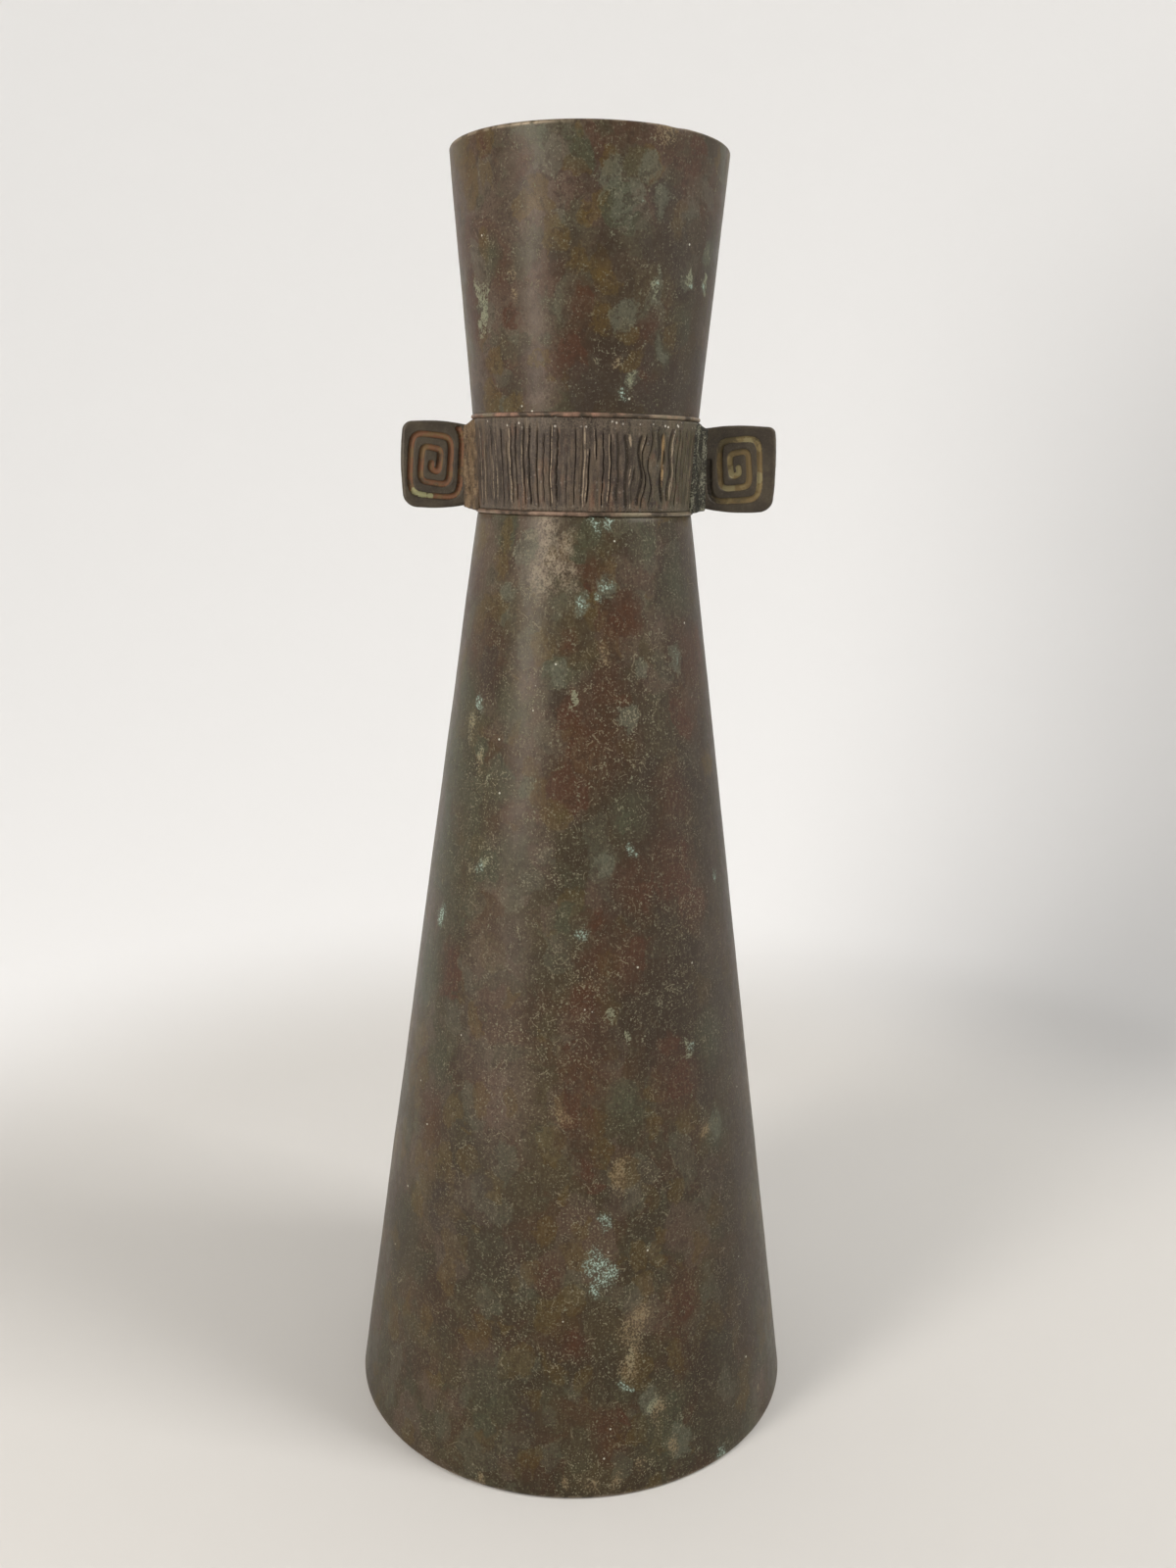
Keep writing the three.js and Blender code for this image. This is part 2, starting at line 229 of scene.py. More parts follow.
def uneven(piece, name, size, depth, strength, weights=None):
    """Leave the unevenness of a hand-finished casting in the surface."""
    lumps = bpy.data.textures.new(name, "CLOUDS")
    lumps.noise_scale = size
    lumps.noise_depth = depth
    group = ""
    if weights:
        group = "uneven"
        piece.vertex_groups.new(name=group)
        for vertex in piece.data.vertices:
            piece.vertex_groups[group].add([vertex.index], weights(vertex.co), "REPLACE")
    apply_modifier(
        piece,
        "DISPLACE",
        texture=lumps,
        texture_coords="LOCAL",
        strength=strength,
        mid_level=0.5,
        vertex_group=group,
    )
    if group:
        piece.vertex_groups.remove(piece.vertex_groups[group])


def wear_edges(piece, width, segments):
    angle = math.radians(60)
    apply_modifier(piece, "BEVEL", width=width, segments=segments, limit_method="ANGLE", angle_limit=angle)


def smooth_shading(piece, angle=50):
    work_on(piece)
    bpy.ops.object.shade_smooth_by_angle(angle=math.radians(angle))


def finish_piece(piece, node, material):
    """Dress the piece, and let it stand for its CAD node."""
    piece.data.materials.clear()
    piece.data.materials.append(material)
    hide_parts(node)
    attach(piece, "root")


def ramp(value, low, high):
    """From 0 at low to 1 at high, with soft ends."""
    share = min(1.0, max(0.0, (value - low) / (high - low)))
    return share * share * (3 - 2 * share)


def between_ends(value, low, low_full, high_full, high):
    """1 between the two full places, fading to 0 at low and at high."""
    return ramp(value, low, low_full) * (1 - ramp(value, high_full, high))


# Castings
BODY_COLUMNS = 240
WALL_ROW = 1.3 * MM
INNER_ROW = 5.0 * MM


def make_lower_body():
    top_edge = 0.2 * MM
    socket_bottom = LOWER_SEAM - SOCKET_DEPTH
    wall_end = socket_bottom - SOCKET_DEPTH
    wall_start = LEDGE_TOP + (FOOT_RING_RADIUS - LEDGE_RADIUS)
    foot_corner = arc(FOOT_RADIUS - FOOT_EDGE, FOOT_EDGE, FOOT_EDGE, -90, 0, 5)
    section = [(FOOT_RING_RADIUS, 0.0)]
    section += foot_corner
    section += with_rows(foot_corner[-1], (BODY_TOP_RADIUS, LOWER_SEAM - top_edge), WALL_ROW)[1:]
    section += [(BODY_TOP_RADIUS - top_edge, LOWER_SEAM), (SOCKET_RADIUS, LOWER_SEAM)]
    section += [(SOCKET_RADIUS, socket_bottom)]
    inner_top = (body_radius(wall_end) - BODY_WALL, wall_end)
    inner_low = (body_radius(wall_start) - BODY_WALL, wall_start)
    section += with_rows(inner_top, inner_low, INNER_ROW)
    section += [(LEDGE_RADIUS, LEDGE_TOP), (LEDGE_RADIUS, PLATE_TOP), (FOOT_RING_RADIUS, PLATE_TOP)]
    body = turn("lower_body_casting", section, BODY_COLUMNS)

    def away_from_ends(point):
        return between_ends(point.z, 1 * MM, 12 * MM, LOWER_SEAM - 6 * MM, LOWER_SEAM)

    uneven(body, "long hammered waves", 22 * MM, 1, 0.22 * MM, away_from_ends)
    uneven(body, "small file marks", 4 * MM, 2, 0.06 * MM, away_from_ends)
    smooth_shading(body)
    return body


# A small nick in the rim, at the front right
NICK_DEGREES = 35
NICK_WIDTH = 3.0 * MM
NICK_DEPTH = 0.15 * MM


def make_mouth_section():
    rim_start = RIM_HEIGHT - RIM_EDGE
    socket_top = UPPER_SEAM + SOCKET_DEPTH
    wall_start = socket_top + SOCKET_DEPTH
    rim = arc(RIM_RADIUS - RIM_EDGE, rim_start, RIM_EDGE, 0, 90, 6)
    rim += arc(RIM_RADIUS - RIM_ROUND, RIM_HEIGHT - RIM_ROUND, RIM_ROUND, 90, 180, 6)
    section = [(SOCKET_RADIUS, UPPER_SEAM)]
    section += with_rows((NECK_RADIUS, UPPER_SEAM), rim[0], WALL_ROW)
    section += rim[1:]
    section += with_rows(rim[-1], (mouth_radius(wall_start) - MOUTH_WALL, wall_start), WALL_ROW)[1:]
    section += [(SOCKET_RADIUS, socket_top)]
    mouth = turn("mouth_casting", section, BODY_COLUMNS)

    def away_from_ends(point):
        return between_ends(point.z, UPPER_SEAM, UPPER_SEAM + 6 * MM, rim_start - 4 * MM, rim_start)

    uneven(mouth, "mouth hammered waves", 18 * MM, 1, 0.18 * MM, away_from_ends)
    uneven(mouth, "mouth file marks", 4 * MM, 2, 0.06 * MM, away_from_ends)
    nick_angle = math.radians(NICK_DEGREES)
    nick = Vector((math.sin(nick_angle) * RIM_RADIUS, -math.cos(nick_angle) * RIM_RADIUS, RIM_HEIGHT))
    for vertex in mouth.data.vertices:
        reach = (vertex.co - nick).length
        if reach < NICK_WIDTH:
            vertex.co.z -= NICK_DEPTH * (1 - ramp(reach, 0, NICK_WIDTH))
        vertex.co.z = min(vertex.co.z, RIM_HEIGHT)
    smooth_shading(mouth)
    return mouth


# Combed collar
COLLAR_COLUMNS = 1240
COLLAR_ROW = 0.45 * MM
COMB_CUTS = 98
COMB_SCRATCHES = 220
COMB_BINS = 360
BURR_PLACE = 2.0
PUCKER_START = math.radians(286)
PUCKER_END = math.radians(328)


def comb_mark(rng, angle, width, depth, burr, low, high):
    """One cut of the comb: where it is, how deep, and how it wanders."""
    return {
        "angle": angle,
        "width": width * MM,
        "depth": depth * MM,
        "burr": burr * MM,
        "burr_side": rng.choice((-1, 1)),
        "low": max(low, COLLAR_LOW + 0.2 * MM),
        "high": min(high, COLLAR_HIGH - 0.5 * MM),
        "tremor": rng.uniform(0.03, 0.1) * MM,
        "tremor_wave": rng.uniform(2, 7) * MM,
        "phase": rng.uniform(0, 2 * math.pi),
    }


def comb_marks(rng):
    """All the cuts round the band: most run nearly its full height, with fine scratches between."""
    marks = []
    step = 2 * math.pi / COMB_CUTS
    for cut in range(COMB_CUTS):
        angle = (cut + rng.uniform(-0.3, 0.3)) * step
        furrow = PUCKER_START < angle < PUCKER_END and rng.random() < 0.6
        depth = rng.uniform(0.18, 0.42)
        width = rng.uniform(0.3, 0.46) if furrow else rng.uniform(0.12, 0.18)
        burr = rng.uniform(0.02, 0.13)
        low = COLLAR_LOW + rng.uniform(0.1, 1.6) * MM
        high = COLLAR_HIGH - rng.uniform(0.6, 2.6) * MM
        if rng.random() < 0.22:
            middle = rng.uniform(COLLAR_LOW + 5 * MM, COLLAR_HIGH - 5 * MM)
            low, high = (low, middle + 2 * MM) if rng.random() < 0.6 else (middle - 2 * MM, high)
        marks.append(comb_mark(rng, angle, width, depth, burr, low, high))
    for scratch in range(COMB_SCRATCHES):
        middle = rng.uniform(COLLAR_LOW + 2 * MM, COLLAR_HIGH - 2 * MM)
        half = rng.uniform(1.0, 5.0) * MM
        angle = rng.uniform(0, 2 * math.pi)
        width = rng.uniform(0.1, 0.15)
        depth = rng.uniform(0.05, 0.16)
        marks.append(comb_mark(rng, angle, width, depth, 0.0, middle - half, middle + half))
    return marks


def comb_sway(angle, height):
    """How far the comb has swung aside here: a little all round, more where the band is puckered."""
    middle = (PUCKER_START + PUCKER_END) / 2
    half = (PUCKER_END - PUCKER_START) / 2
    puckered = 1 - ramp(abs(angle - middle), half * 0.6, half)
    gentle = 0.16 * math.sin(2 * math.pi * height / (17 * MM) + 5 * angle)
    tight = 0.42 * math.sin(2 * math.pi * height / (9 * MM) + 17 * angle)
    return (gentle + tight * puckered) * MM


def marks_by_bearing(marks):
    """For each degree round the band, the marks that may cut there."""
    near = [[] for bearing in range(COMB_BINS)]
    for mark in marks:
        bearing = int(mark["angle"] / (2 * math.pi) * COMB_BINS)
        for shift in range(-5, 6):
            near[(bearing + shift) % COMB_BINS].append(mark)
    return near


def make_collar_band():
    edge = 0.18 * MM
    section = [(SPIGOT_RADIUS, COLLAR_LOW)]
    section += [(COLLAR_LOW_RADIUS - edge, COLLAR_LOW)]
    wall_low = (collar_radius(COLLAR_LOW + edge), COLLAR_LOW + edge)
    wall_high = (collar_radius(COLLAR_HIGH - edge), COLLAR_HIGH - edge)
    section += with_rows(wall_low, wall_high, COLLAR_ROW)
    section += [(COLLAR_HIGH_RADIUS - edge, COLLAR_HIGH), (SPIGOT_RADIUS, COLLAR_HIGH)]
    section += [(SPIGOT_RADIUS, SPIGOT_HIGH), (BORE_RADIUS, SPIGOT_HIGH)]
    section += with_rows((BORE_RADIUS, SPIGOT_HIGH), (BORE_RADIUS, SPIGOT_LOW), INNER_ROW)[1:]
    section += [(SPIGOT_RADIUS, SPIGOT_LOW)]
    band = turn("combed_band", section, COLLAR_COLUMNS)
    comb(band)
    uneven(band, "band unevenness", 3 * MM, 2, 0.08 * MM, on_band_face)
    smooth_shading(band, 80)
    return band


def on_band_face(point):
    """1 on the combed face, fading to 0 at its two edges and elsewhere."""
    if math.hypot(point.x, point.y) < collar_radius(point.z) - 1.2 * MM:
        return 0.0
    edge = 0.8 * MM
    return between_ends(point.z, COLLAR_LOW, COLLAR_LOW + edge, COLLAR_HIGH - edge, COLLAR_HIGH)


def comb(band):
    """Cut the comb's grooves by moving the face's points towards the axis."""
    near = marks_by_bearing(comb_marks(random.Random(41)))
    reach = 4.2
    taper = 1.3 * MM
    for vertex in band.data.vertices:
        point = vertex.co
        radius = math.hypot(point.x, point.y)
        if radius < collar_radius(point.z) - 0.3 * MM or not COLLAR_LOW < point.z < COLLAR_HIGH:
            continue
        angle = math.atan2(point.y, point.x) % (2 * math.pi)
        cut = 0.0
        lift = 0.0
        for mark in near[int(angle / (2 * math.pi) * COMB_BINS) % COMB_BINS]:
            away = (angle - mark["angle"] + math.pi) % (2 * math.pi) - math.pi
            sway = comb_sway(mark["angle"], point.z)
            sway += mark["tremor"] * math.sin(2 * math.pi * point.z / mark["tremor_wave"] + mark["phase"])
            aside = (away * radius - sway) / mark["width"]
            if abs(aside) > reach:
                continue
            low, high = mark["low"], mark["high"]
            ends = between_ends(point.z, low, low + taper, high - taper, high)
            cut = max(cut, mark["depth"] * ends * math.exp(-aside * aside))
            from_burr = aside * mark["burr_side"] - BURR_PLACE
            lift = max(lift, mark["burr"] * ends * math.exp(-from_burr * from_burr))
        shrink = (radius - cut + lift) / radius
        vertex.co.x *= shrink
        vertex.co.y *= shrink


# Beads
BEAD_STEPS = 14
BEAD_TUCK = 0.9


def make_bead(name, bottom, top, outside):
    """A thin bead, its inner side tucked into the seam, worn flat here and there."""
    clear_selection()
    half = (top - bottom) / 2
    bpy.ops.mesh.primitive_torus_add(
        major_segments=BODY_COLUMNS,
        minor_segments=BEAD_STEPS,
        major_radius=outside - half,
        minor_radius=half,
        location=(0, 0, bottom + half),
    )
    bead = open_piece(name)
    inner = outside - 1.2 * half
    pick(bead, "FACE", lambda face: math.hypot(*face.calc_center_median().xy) < inner)
    bpy.ops.transform.resize(value=(BEAD_TUCK, BEAD_TUCK, 1), center_override=(0, 0, bottom + half))
    bpy.ops.object.mode_set(mode="OBJECT")
    uneven(bead, name + " wear", 2.5 * MM, 2, 0.1 * MM)
    smooth_shading(bead, 80)
    return bead


# Ears
EAR_ROOT = 23.9 * MM
SPIRAL_EYE = (31.46 * MM, 210.55 * MM)
SPIRAL_HALF = (6.1 * MM, 7.8 * MM)
SPIRAL_EYE_HALF = (0.3 * MM, 1.0 * MM)
SPIRAL_TURNS = 2.6
SPIRAL_START = 135
SPIRAL_SQUARENESS = 5
SPIRAL_POINTS = 180
GROOVE_DEPTH = 0.6 * MM
GROOVE_FLOOR = 0.3 * MM
GROOVE_HALF_WIDTH = 0.74 * MM
FACE_DEPTH = 0.3 * MM
EAR_VOXEL = 0.14 * MM
EAR_EDGE = 0.75 * MM
EAR_CORNERS = {RIGHT: (1.2 * MM, 2.6 * MM), LEFT: (1.7 * MM, 2.6 * MM)}


def spiral_point(share):
    """A point of the rounded-square spiral on the right ear: outwards from the axis, and height."""
    angle = math.radians(SPIRAL_START + 360 * SPIRAL_TURNS * share)
    across = math.cos(angle)
    up = math.sin(angle)
    power = SPIRAL_SQUARENESS
    reach = (abs(across) ** power + abs(up) ** power) ** (-1 / power)
    half_width = SPIRAL_HALF[0] + (SPIRAL_EYE_HALF[0] - SPIRAL_HALF[0]) * share
    half_height = SPIRAL_HALF[1] + (SPIRAL_EYE_HALF[1] - SPIRAL_HALF[1]) * share
    return SPIRAL_EYE[0] + half_width * reach * across, SPIRAL_EYE[1] + half_height * reach * up


def carve_spiral(ear, side, start):
    """Cut the groove into both faces: points near the spiral sink, deepest along its middle."""
    path = kdtree.KDTree(SPIRAL_POINTS + 1)
    for step in range(SPIRAL_POINTS + 1):
        out, height = spiral_point(start + (1 - start) * step / SPIRAL_POINTS)
        path.insert((side * out, 0, height), step)
    path.balance()
    for vertex in ear.data.vertices:
        if abs(vertex.co.y) < EAR_HALF_THICKNESS - FACE_DEPTH:
            continue
        nearest, step, distance = path.find((vertex.co.x, 0, vertex.co.z))
        sink = GROOVE_DEPTH * (1 - ramp(distance, GROOVE_FLOOR, GROOVE_HALF_WIDTH))
        vertex.co.y -= math.copysign(sink, vertex.co.y)


def make_ear(name, side, groove_start):
    """A flat lug: corners rounded, edges worn, a spiral groove cut into both faces."""
    tip = EAR_TIPS[side]
    ear = open_block(name, EAR_ROOT, tip, EAR_HALF_THICKNESS, EAR_BOTTOM, EAR_TOP)
    near = 0.1 * MM
    for height, corner in zip((EAR_TOP, EAR_BOTTOM), EAR_CORNERS[side]):

        def at_corner(edge):
            return all(v.co.x > tip - near and abs(v.co.z - height) < near for v in edge.verts)

        pick(ear, "EDGE", at_corner)
        bpy.ops.mesh.bevel(offset=corner, segments=7, affect="EDGES")
    bpy.ops.object.mode_set(mode="OBJECT")
    wear_edges(ear, EAR_EDGE, 3)
    apply_modifier(ear, "REMESH", mode="VOXEL", voxel_size=EAR_VOXEL)
    shape_lug(ear, tip)
    put_on_side(ear, side)
    carve_spiral(ear, side, groove_start)
    apply_modifier(ear, "SMOOTH", factor=0.5, iterations=3)
    uneven(ear, name + " waves", 5 * MM, 1, 0.16 * MM)
    uneven(ear, name + " pits", 0.9 * MM, 2, 0.05 * MM)
    smooth_shading(ear, 80)
    return ear


EAR_BOW = 0.55 * MM
EAR_ROOT_DROP = 0.75 * MM


def shape_lug(ear, tip):
    """Bow the lug's tip, and draw its top and bottom in towards the root."""
    half = (EAR_TOP - EAR_BOTTOM) / 2
    for vertex in ear.data.vertices:
        point = vertex.co
        along = (point.x - EAR_ROOT) / (tip - EAR_ROOT)
        up = (point.z - EAR_MIDDLE) / half
        point.x -= EAR_BOW * up * up * ramp(along, 0.4, 1)
        crown = 1 - abs(2 * along - 1.1) ** 2
        draw = (1 - min(1, max(0, crown))) * EAR_ROOT_DROP
        point.z -= draw * up ** 3 if along < 0.6 else draw * 0.5 * up ** 3


# Braze at the ears' roots: out from the axis, half width, top and bottom of each step, in mm
BRAZE_STEPS = (
    (24.6, 3.85, 218.2, 201.5),
    (24.1, 4.3, 218.5, 201.4),
    (23.6, 4.9, 218.9, 201.25),
    (23.1, 5.7, 219.25, 201.1),
    (22.5, 6.3, 219.35, 201.05),
    (21.6, 6.5, 219.3, 201.1),
)
BRAZE_NOSE = (3.6, 218.0, 201.55)
BRAZE_VOXEL = 0.2 * MM


def make_braze(name, side):
    """The run of braze: a collar at the ear's root that flares out over the band."""
    width, top, bottom = (value * MM for value in BRAZE_NOSE)
    out = BRAZE_STEPS[0][0] * MM
    braze = open_block(name, out, BRAZE_TIP, width, bottom, top)
    pick(braze, "FACE", lambda face: face.normal.x < -0.9)
    for step, (next_out, next_half, next_top, next_bottom) in enumerate(BRAZE_STEPS):
        if step > 0:
            move = (next_out * MM - out, 0, 0)
            bpy.ops.mesh.extrude_region_move(TRANSFORM_OT_translate={"value": move})
        out = next_out * MM
        rise = ((next_top + next_bottom) * MM - (top + bottom)) / 2
        bpy.ops.transform.translate(value=(0, 0, rise))
        grow = (1, next_half * MM / width, (next_top - next_bottom) * MM / (top - bottom))
        bpy.ops.transform.resize(value=grow, center_override=(out, 0, (next_top + next_bottom) * MM / 2))
        width, top, bottom = next_half * MM, next_top * MM, next_bottom * MM
    close_piece()
    apply_modifier(braze, "REMESH", mode="VOXEL", voxel_size=BRAZE_VOXEL)
    apply_modifier(braze, "SMOOTH", factor=0.5, iterations=6)
    put_on_side(braze, side)
    uneven(braze, name + " lumps", 1.6 * MM, 2, 0.4 * MM)
    smooth_shading(braze, 80)
    return braze


# Base plate and its solder
PLATE_COLUMNS = 144
PLATE_EDGE = 0.25 * MM
PLATE_RINGS = 9
RING_EDGE = 0.5 * MM
RING_WIDTH = 3.6 * MM
RING_SINK = 0.08 * MM
RING_RISE = 0.06 * MM


def make_base_plate():
    """The disc under the body, with the rings that turning left on its underside."""
    clear_selection()
    thickness = PLATE_TOP - PLATE_BOTTOM
    bpy.ops.mesh.primitive_cylinder_add(
        vertices=PLATE_COLUMNS,
        radius=PLATE_RADIUS,
        depth=thickness,
        location=(0, 0, PLATE_BOTTOM + thickness / 2),
    )
    plate = open_piece("base_plate_disc")
    for facing in (-1, 1):
        pick(plate, "FACE", lambda face: face.normal.z * facing > 0.9)
        for ring in range(PLATE_RINGS):
            bpy.ops.mesh.inset(thickness=RING_EDGE)
            bpy.ops.transform.translate(value=(0, 0, -facing * RING_SINK))
            bpy.ops.mesh.inset(thickness=RING_WIDTH)
            bpy.ops.mesh.inset(thickness=RING_EDGE)
            bpy.ops.transform.translate(value=(0, 0, facing * RING_RISE))
    bpy.ops.object.mode_set(mode="OBJECT")
    wear_edges(plate, PLATE_EDGE, 2)
    smooth_shading(plate, 40)
    return plate


def make_base_solder():
    leg = SOLDER_TOP - SOLDER_BOTTOM
    hollow = arc(PLATE_RADIUS - leg, SOLDER_BOTTOM, leg * 0.66, 90, 0, 6)
    section = [(PLATE_RADIUS, SOLDER_BOTTOM), (PLATE_RADIUS, SOLDER_TOP), (PLATE_RADIUS - leg, SOLDER_TOP)]
    section += hollow[1:-1]
    solder = turn("base_solder_run", section, BODY_COLUMNS)
    uneven(solder, "solder ripples", 2.2 * MM, 2, 0.3 * MM)
    smooth_shading(solder, 80)
    return solder


# Finishes
def paint(red, green, blue):
    """A colour as seen on screen, 0 to 255, as the linear value that a finish takes."""
    linear = []
    for value in (red, green, blue):
        share = value / 255
        linear.append(share / 12.92 if share <= 0.04045 else ((share + 0.055) / 1.055) ** 2.4)
    return (*linear, 1.0)


# Sheen of a waxed patina
SHEEN = 0.28
SHEEN_TINT = (1.0, 0.925, 0.83, 1.0)


def operator(operation, reflected=False):
    """One operator of Value, or its reflected form."""

    def work(value, other=0.0):
        pair = (other, value) if reflected else (value, other)
        return value.finish.maths(operation, *pair)

    return work


class Value:
    """One output socket of a finish, so that masks are written as plain arithmetic."""

    def __init__(self, finish, socket):
        self.finish = finish
        self.socket = socket

    __add__ = operator("ADD")
    __radd__ = operator("ADD", True)
    __sub__ = operator("SUBTRACT")
    __rsub__ = operator("SUBTRACT", True)
    __mul__ = operator("MULTIPLY")
    __rmul__ = operator("MULTIPLY", True)
    __truediv__ = operator("DIVIDE")
    __abs__ = operator("ABSOLUTE")


# Shares of a cell's three chance colours in one chance
CHANCE_SHARES = (0.2126, 0.7152, 0.0722)

# Where the front's stains, painted light and painted shade give way to the back's, in mm behind the ears'
# middle, and how far up the wall the back's are moved, as a share of its height
BACK_START = (-6.0, 10.0)
BACK_LIFT = 0.11


class Finish:
    """A procedural finish on Object coordinates, measured in millimetres."""

    def __init__(self, name):
        self.material = bpy.data.materials.new(name)
        self.material.use_nodes = True
        self.tree = self.material.node_tree
        self.shader = self.tree.nodes["Principled BSDF"]
        self.shader.inputs["Specular IOR Level"].default_value = SHEEN
        self.shader.inputs["Specular Tint"].default_value = SHEEN_TINT
        metres = self.node("ShaderNodeTexCoord", output="Object")
        self.place = self.vector("SCALE", metres, scale=1 / MM)
        self.x, self.y, self.z = self.split(self.place)

    def feed(self, socket, value):
        if isinstance(value, Value):
            self.tree.links.new(value.socket, socket)
        else:
            socket.default_value = value

    def node(self, kind, settings=None, sockets=None, output=0):
        made = self.tree.nodes.new(kind)
        for name, value in (settings or {}).items():
            setattr(made, name, value)
        for key, value in (sockets or {}).items():
            self.feed(made.inputs[key], value)
        return Value(self, made.outputs[output])

    def split(self, at):
        parts = self.tree.nodes.new("ShaderNodeSeparateXYZ")
        self.feed(parts.inputs[0], at)
        return tuple(Value(self, socket) for socket in parts.outputs)

    def maths(self, operation, first, second):
        return self.node("ShaderNodeMath", {"operation": operation}, {0: first, 1: second})

    def larger(self, first, second):
        return self.maths("MAXIMUM", first, second)

    def union(self, covers):
        return functools.reduce(self.larger, covers)

    def vector(self, operation, first, second=None, scale=None, output=0):
        sockets = {0: first}
        if second is not None:
            sockets[1] = second
        if scale is not None:
            sockets["Scale"] = scale
        return self.node("ShaderNodeVectorMath", {"operation": operation}, sockets, output)

    def measure(self, operation, first, second=None):
        return self.vector(operation, first, second, output="Value")

    def from_axis(self, at=None):
        return self.measure("LENGTH", self.stretched(0.0, at))

    def inwards(self, low, high):
        """How far inside a cone the place is. Low and high are the cone's radius and height at its ends."""
        slope = (high[0] - low[0]) / (high[1] - low[1])
        return self.z * slope + (low[0] - slope * low[1]) / MM - self.from_axis()

    def mix(self, share, first, second):
        settings = {"data_type": "RGBA", "clamp_factor": True}
        return self.node("ShaderNodeMix", settings, {0: share, 6: first, 7: second}, 2)

    def ground(self, value, low, high, first, second):
        """Start with two colours, the second where the value passes from low to high."""
        self.color = self.mix(self.step(value, low, high), first, second)

    def coat(self, share, tone):
        """Lay one more colour over what is there."""
        self.color = self.mix(share, self.color, tone)

    def tint(self, value, low, high, share, tone):
        """Lay one more colour where the value passes from low to high."""
        self.coat(self.step(value, low, high) * share, tone)

    def step(self, value, low, high, start=0.0, end=1.0):
        """From 0 at low to 1 at high, with soft ends."""
        return self.node(
            "ShaderNodeMapRange",
            {"interpolation_type": "SMOOTHSTEP", "clamp": False},
            {"Value": value, "From Min": low, "From Max": high, "To Min": start, "To Max": end},
        )

    def fade(self, value, low, high):
        """From 1 at low to 0 at high, with soft ends."""
        return self.step(value, low, high, 1.0, 0.0)

    def shifted(self, seed, at=None):
        """The place moved far away, so that each pattern is different."""
        return self.vector("ADD", at or self.place, (seed * 37.1, seed * 53.7, seed * 71.3))

    def noise(self, size, seed, detail=4.0, roughness=0.6, at=None, output="Fac"):
        return self.node(
            "ShaderNodeTexNoise",
            {"noise_dimensions": "3D"},
            {"Vector": self.shifted(seed, at), "Scale": 1 / size, "Detail": detail, "Roughness": roughness},
            output,
        )

    def wander(self, size, amount, seed, at=None):
        """The place, shifted to and fro, so that an edge drawn on it is ragged."""
        start = at or self.place
        push = self.noise(size, seed, 2.0, 0.5, start, "Color")
        centred = self.vector("SUBTRACT", push, (0.5, 0.5, 0.5))
        return self.vector("ADD", start, self.vector("SCALE", centred, scale=amount))

    def cells(self, size, seed, at=None):
        """Cells of uneven size, each with a middle and a chance colour."""
        place = self.shifted(seed, at)
        cell = self.tree.nodes.new("ShaderNodeTexVoronoi")
        self.feed(cell.inputs["Vector"], place)
        self.feed(cell.inputs["Scale"], 1 / size)
        found = {name: Value(self, cell.outputs[name]) for name in ("Distance", "Color", "Position")}
        chance = self.measure("DOT_PRODUCT", found["Color"], CHANCE_SHARES)
        return {"Place": place, "Chance": chance, **found}

    def fibres(self, size, seed, width, reach):
        """One short hair in some of the cells, lying in a direction of its own."""
        cell = self.cells(size, seed, self.wander(1.6, 1.1, seed))
        away = self.vector("SUBTRACT", cell["Place"], cell["Position"])
        facing = self.vector("NORMALIZE", self.vector("SUBTRACT", cell["Color"], (0.5, 0.5, 0.5)))
        aside = abs(self.measure("DOT_PRODUCT", away, facing))
        along = self.measure("LENGTH", away)
        return self.fade(aside, width * 0.3, width) * self.fade(along, reach * 0.8, reach)

    def stretched(self, upright, at=None):
        return self.vector("MULTIPLY", at or self.place, (1.0, 1.0, upright))

    def folded(self, at, low, high):
        """The place, with the back mirrored on to the front and moved up along a wall from low to high."""
        x, y, z = self.split(at)
        rise = high[1] - low[1]
        raised = self.step(y, *BACK_START) * (rise / MM * BACK_LIFT)
        drawn = raised * ((high[0] - low[0]) / rise) / self.from_axis(at) + 1.0
        front = abs(y) * drawn * -1.0
        return self.node("ShaderNodeCombineXYZ", None, {0: x * drawn, 1: front, 2: z + raised})

    def bump(self, height, strength, distance):
        sockets = {"Height": height, "Strength": strength, "Distance": distance}
        return self.node("ShaderNodeBump", None, sockets)

    def wear(self, roughness, metallic, normal):
        shown = {"Base Color": self.color, "Roughness": roughness, "Metallic": metallic, "Normal": normal}
        for name, value in shown.items():
            self.feed(self.shader.inputs[name], value)
        return self.material


# Colours of the patina
OLIVE_BROWN = paint(61, 51, 32)
DEEP_OLIVE = paint(47, 40, 26)
OLIVE_GREEN = paint(55, 56, 40)
MAUVE_BROWN = paint(84, 69, 60)
PLUM = paint(50, 42, 35)
UMBER = paint(57, 46, 32)
RED_BROWN = paint(62, 36, 22)
RUST = paint(62, 34, 16)
DARK_BROWN = paint(40, 29, 19)
GREY_GREEN = paint(82, 84, 70)
OCHRE = paint(76, 59, 22)
VERDIGRIS = paint(94, 106, 92)
BLUE_GREEN = paint(150, 168, 156)
PALE_TAN = paint(122, 106, 80)
WEAR_AND_HIGHLIGHT_BEIGE = paint(134, 121, 103)
PALE_DUST = paint(134, 126, 102)
CHALK = paint(124, 127, 104)
WHITE_SPECK = paint(190, 188, 172)
INNER_BROWN = paint(48, 42, 32)
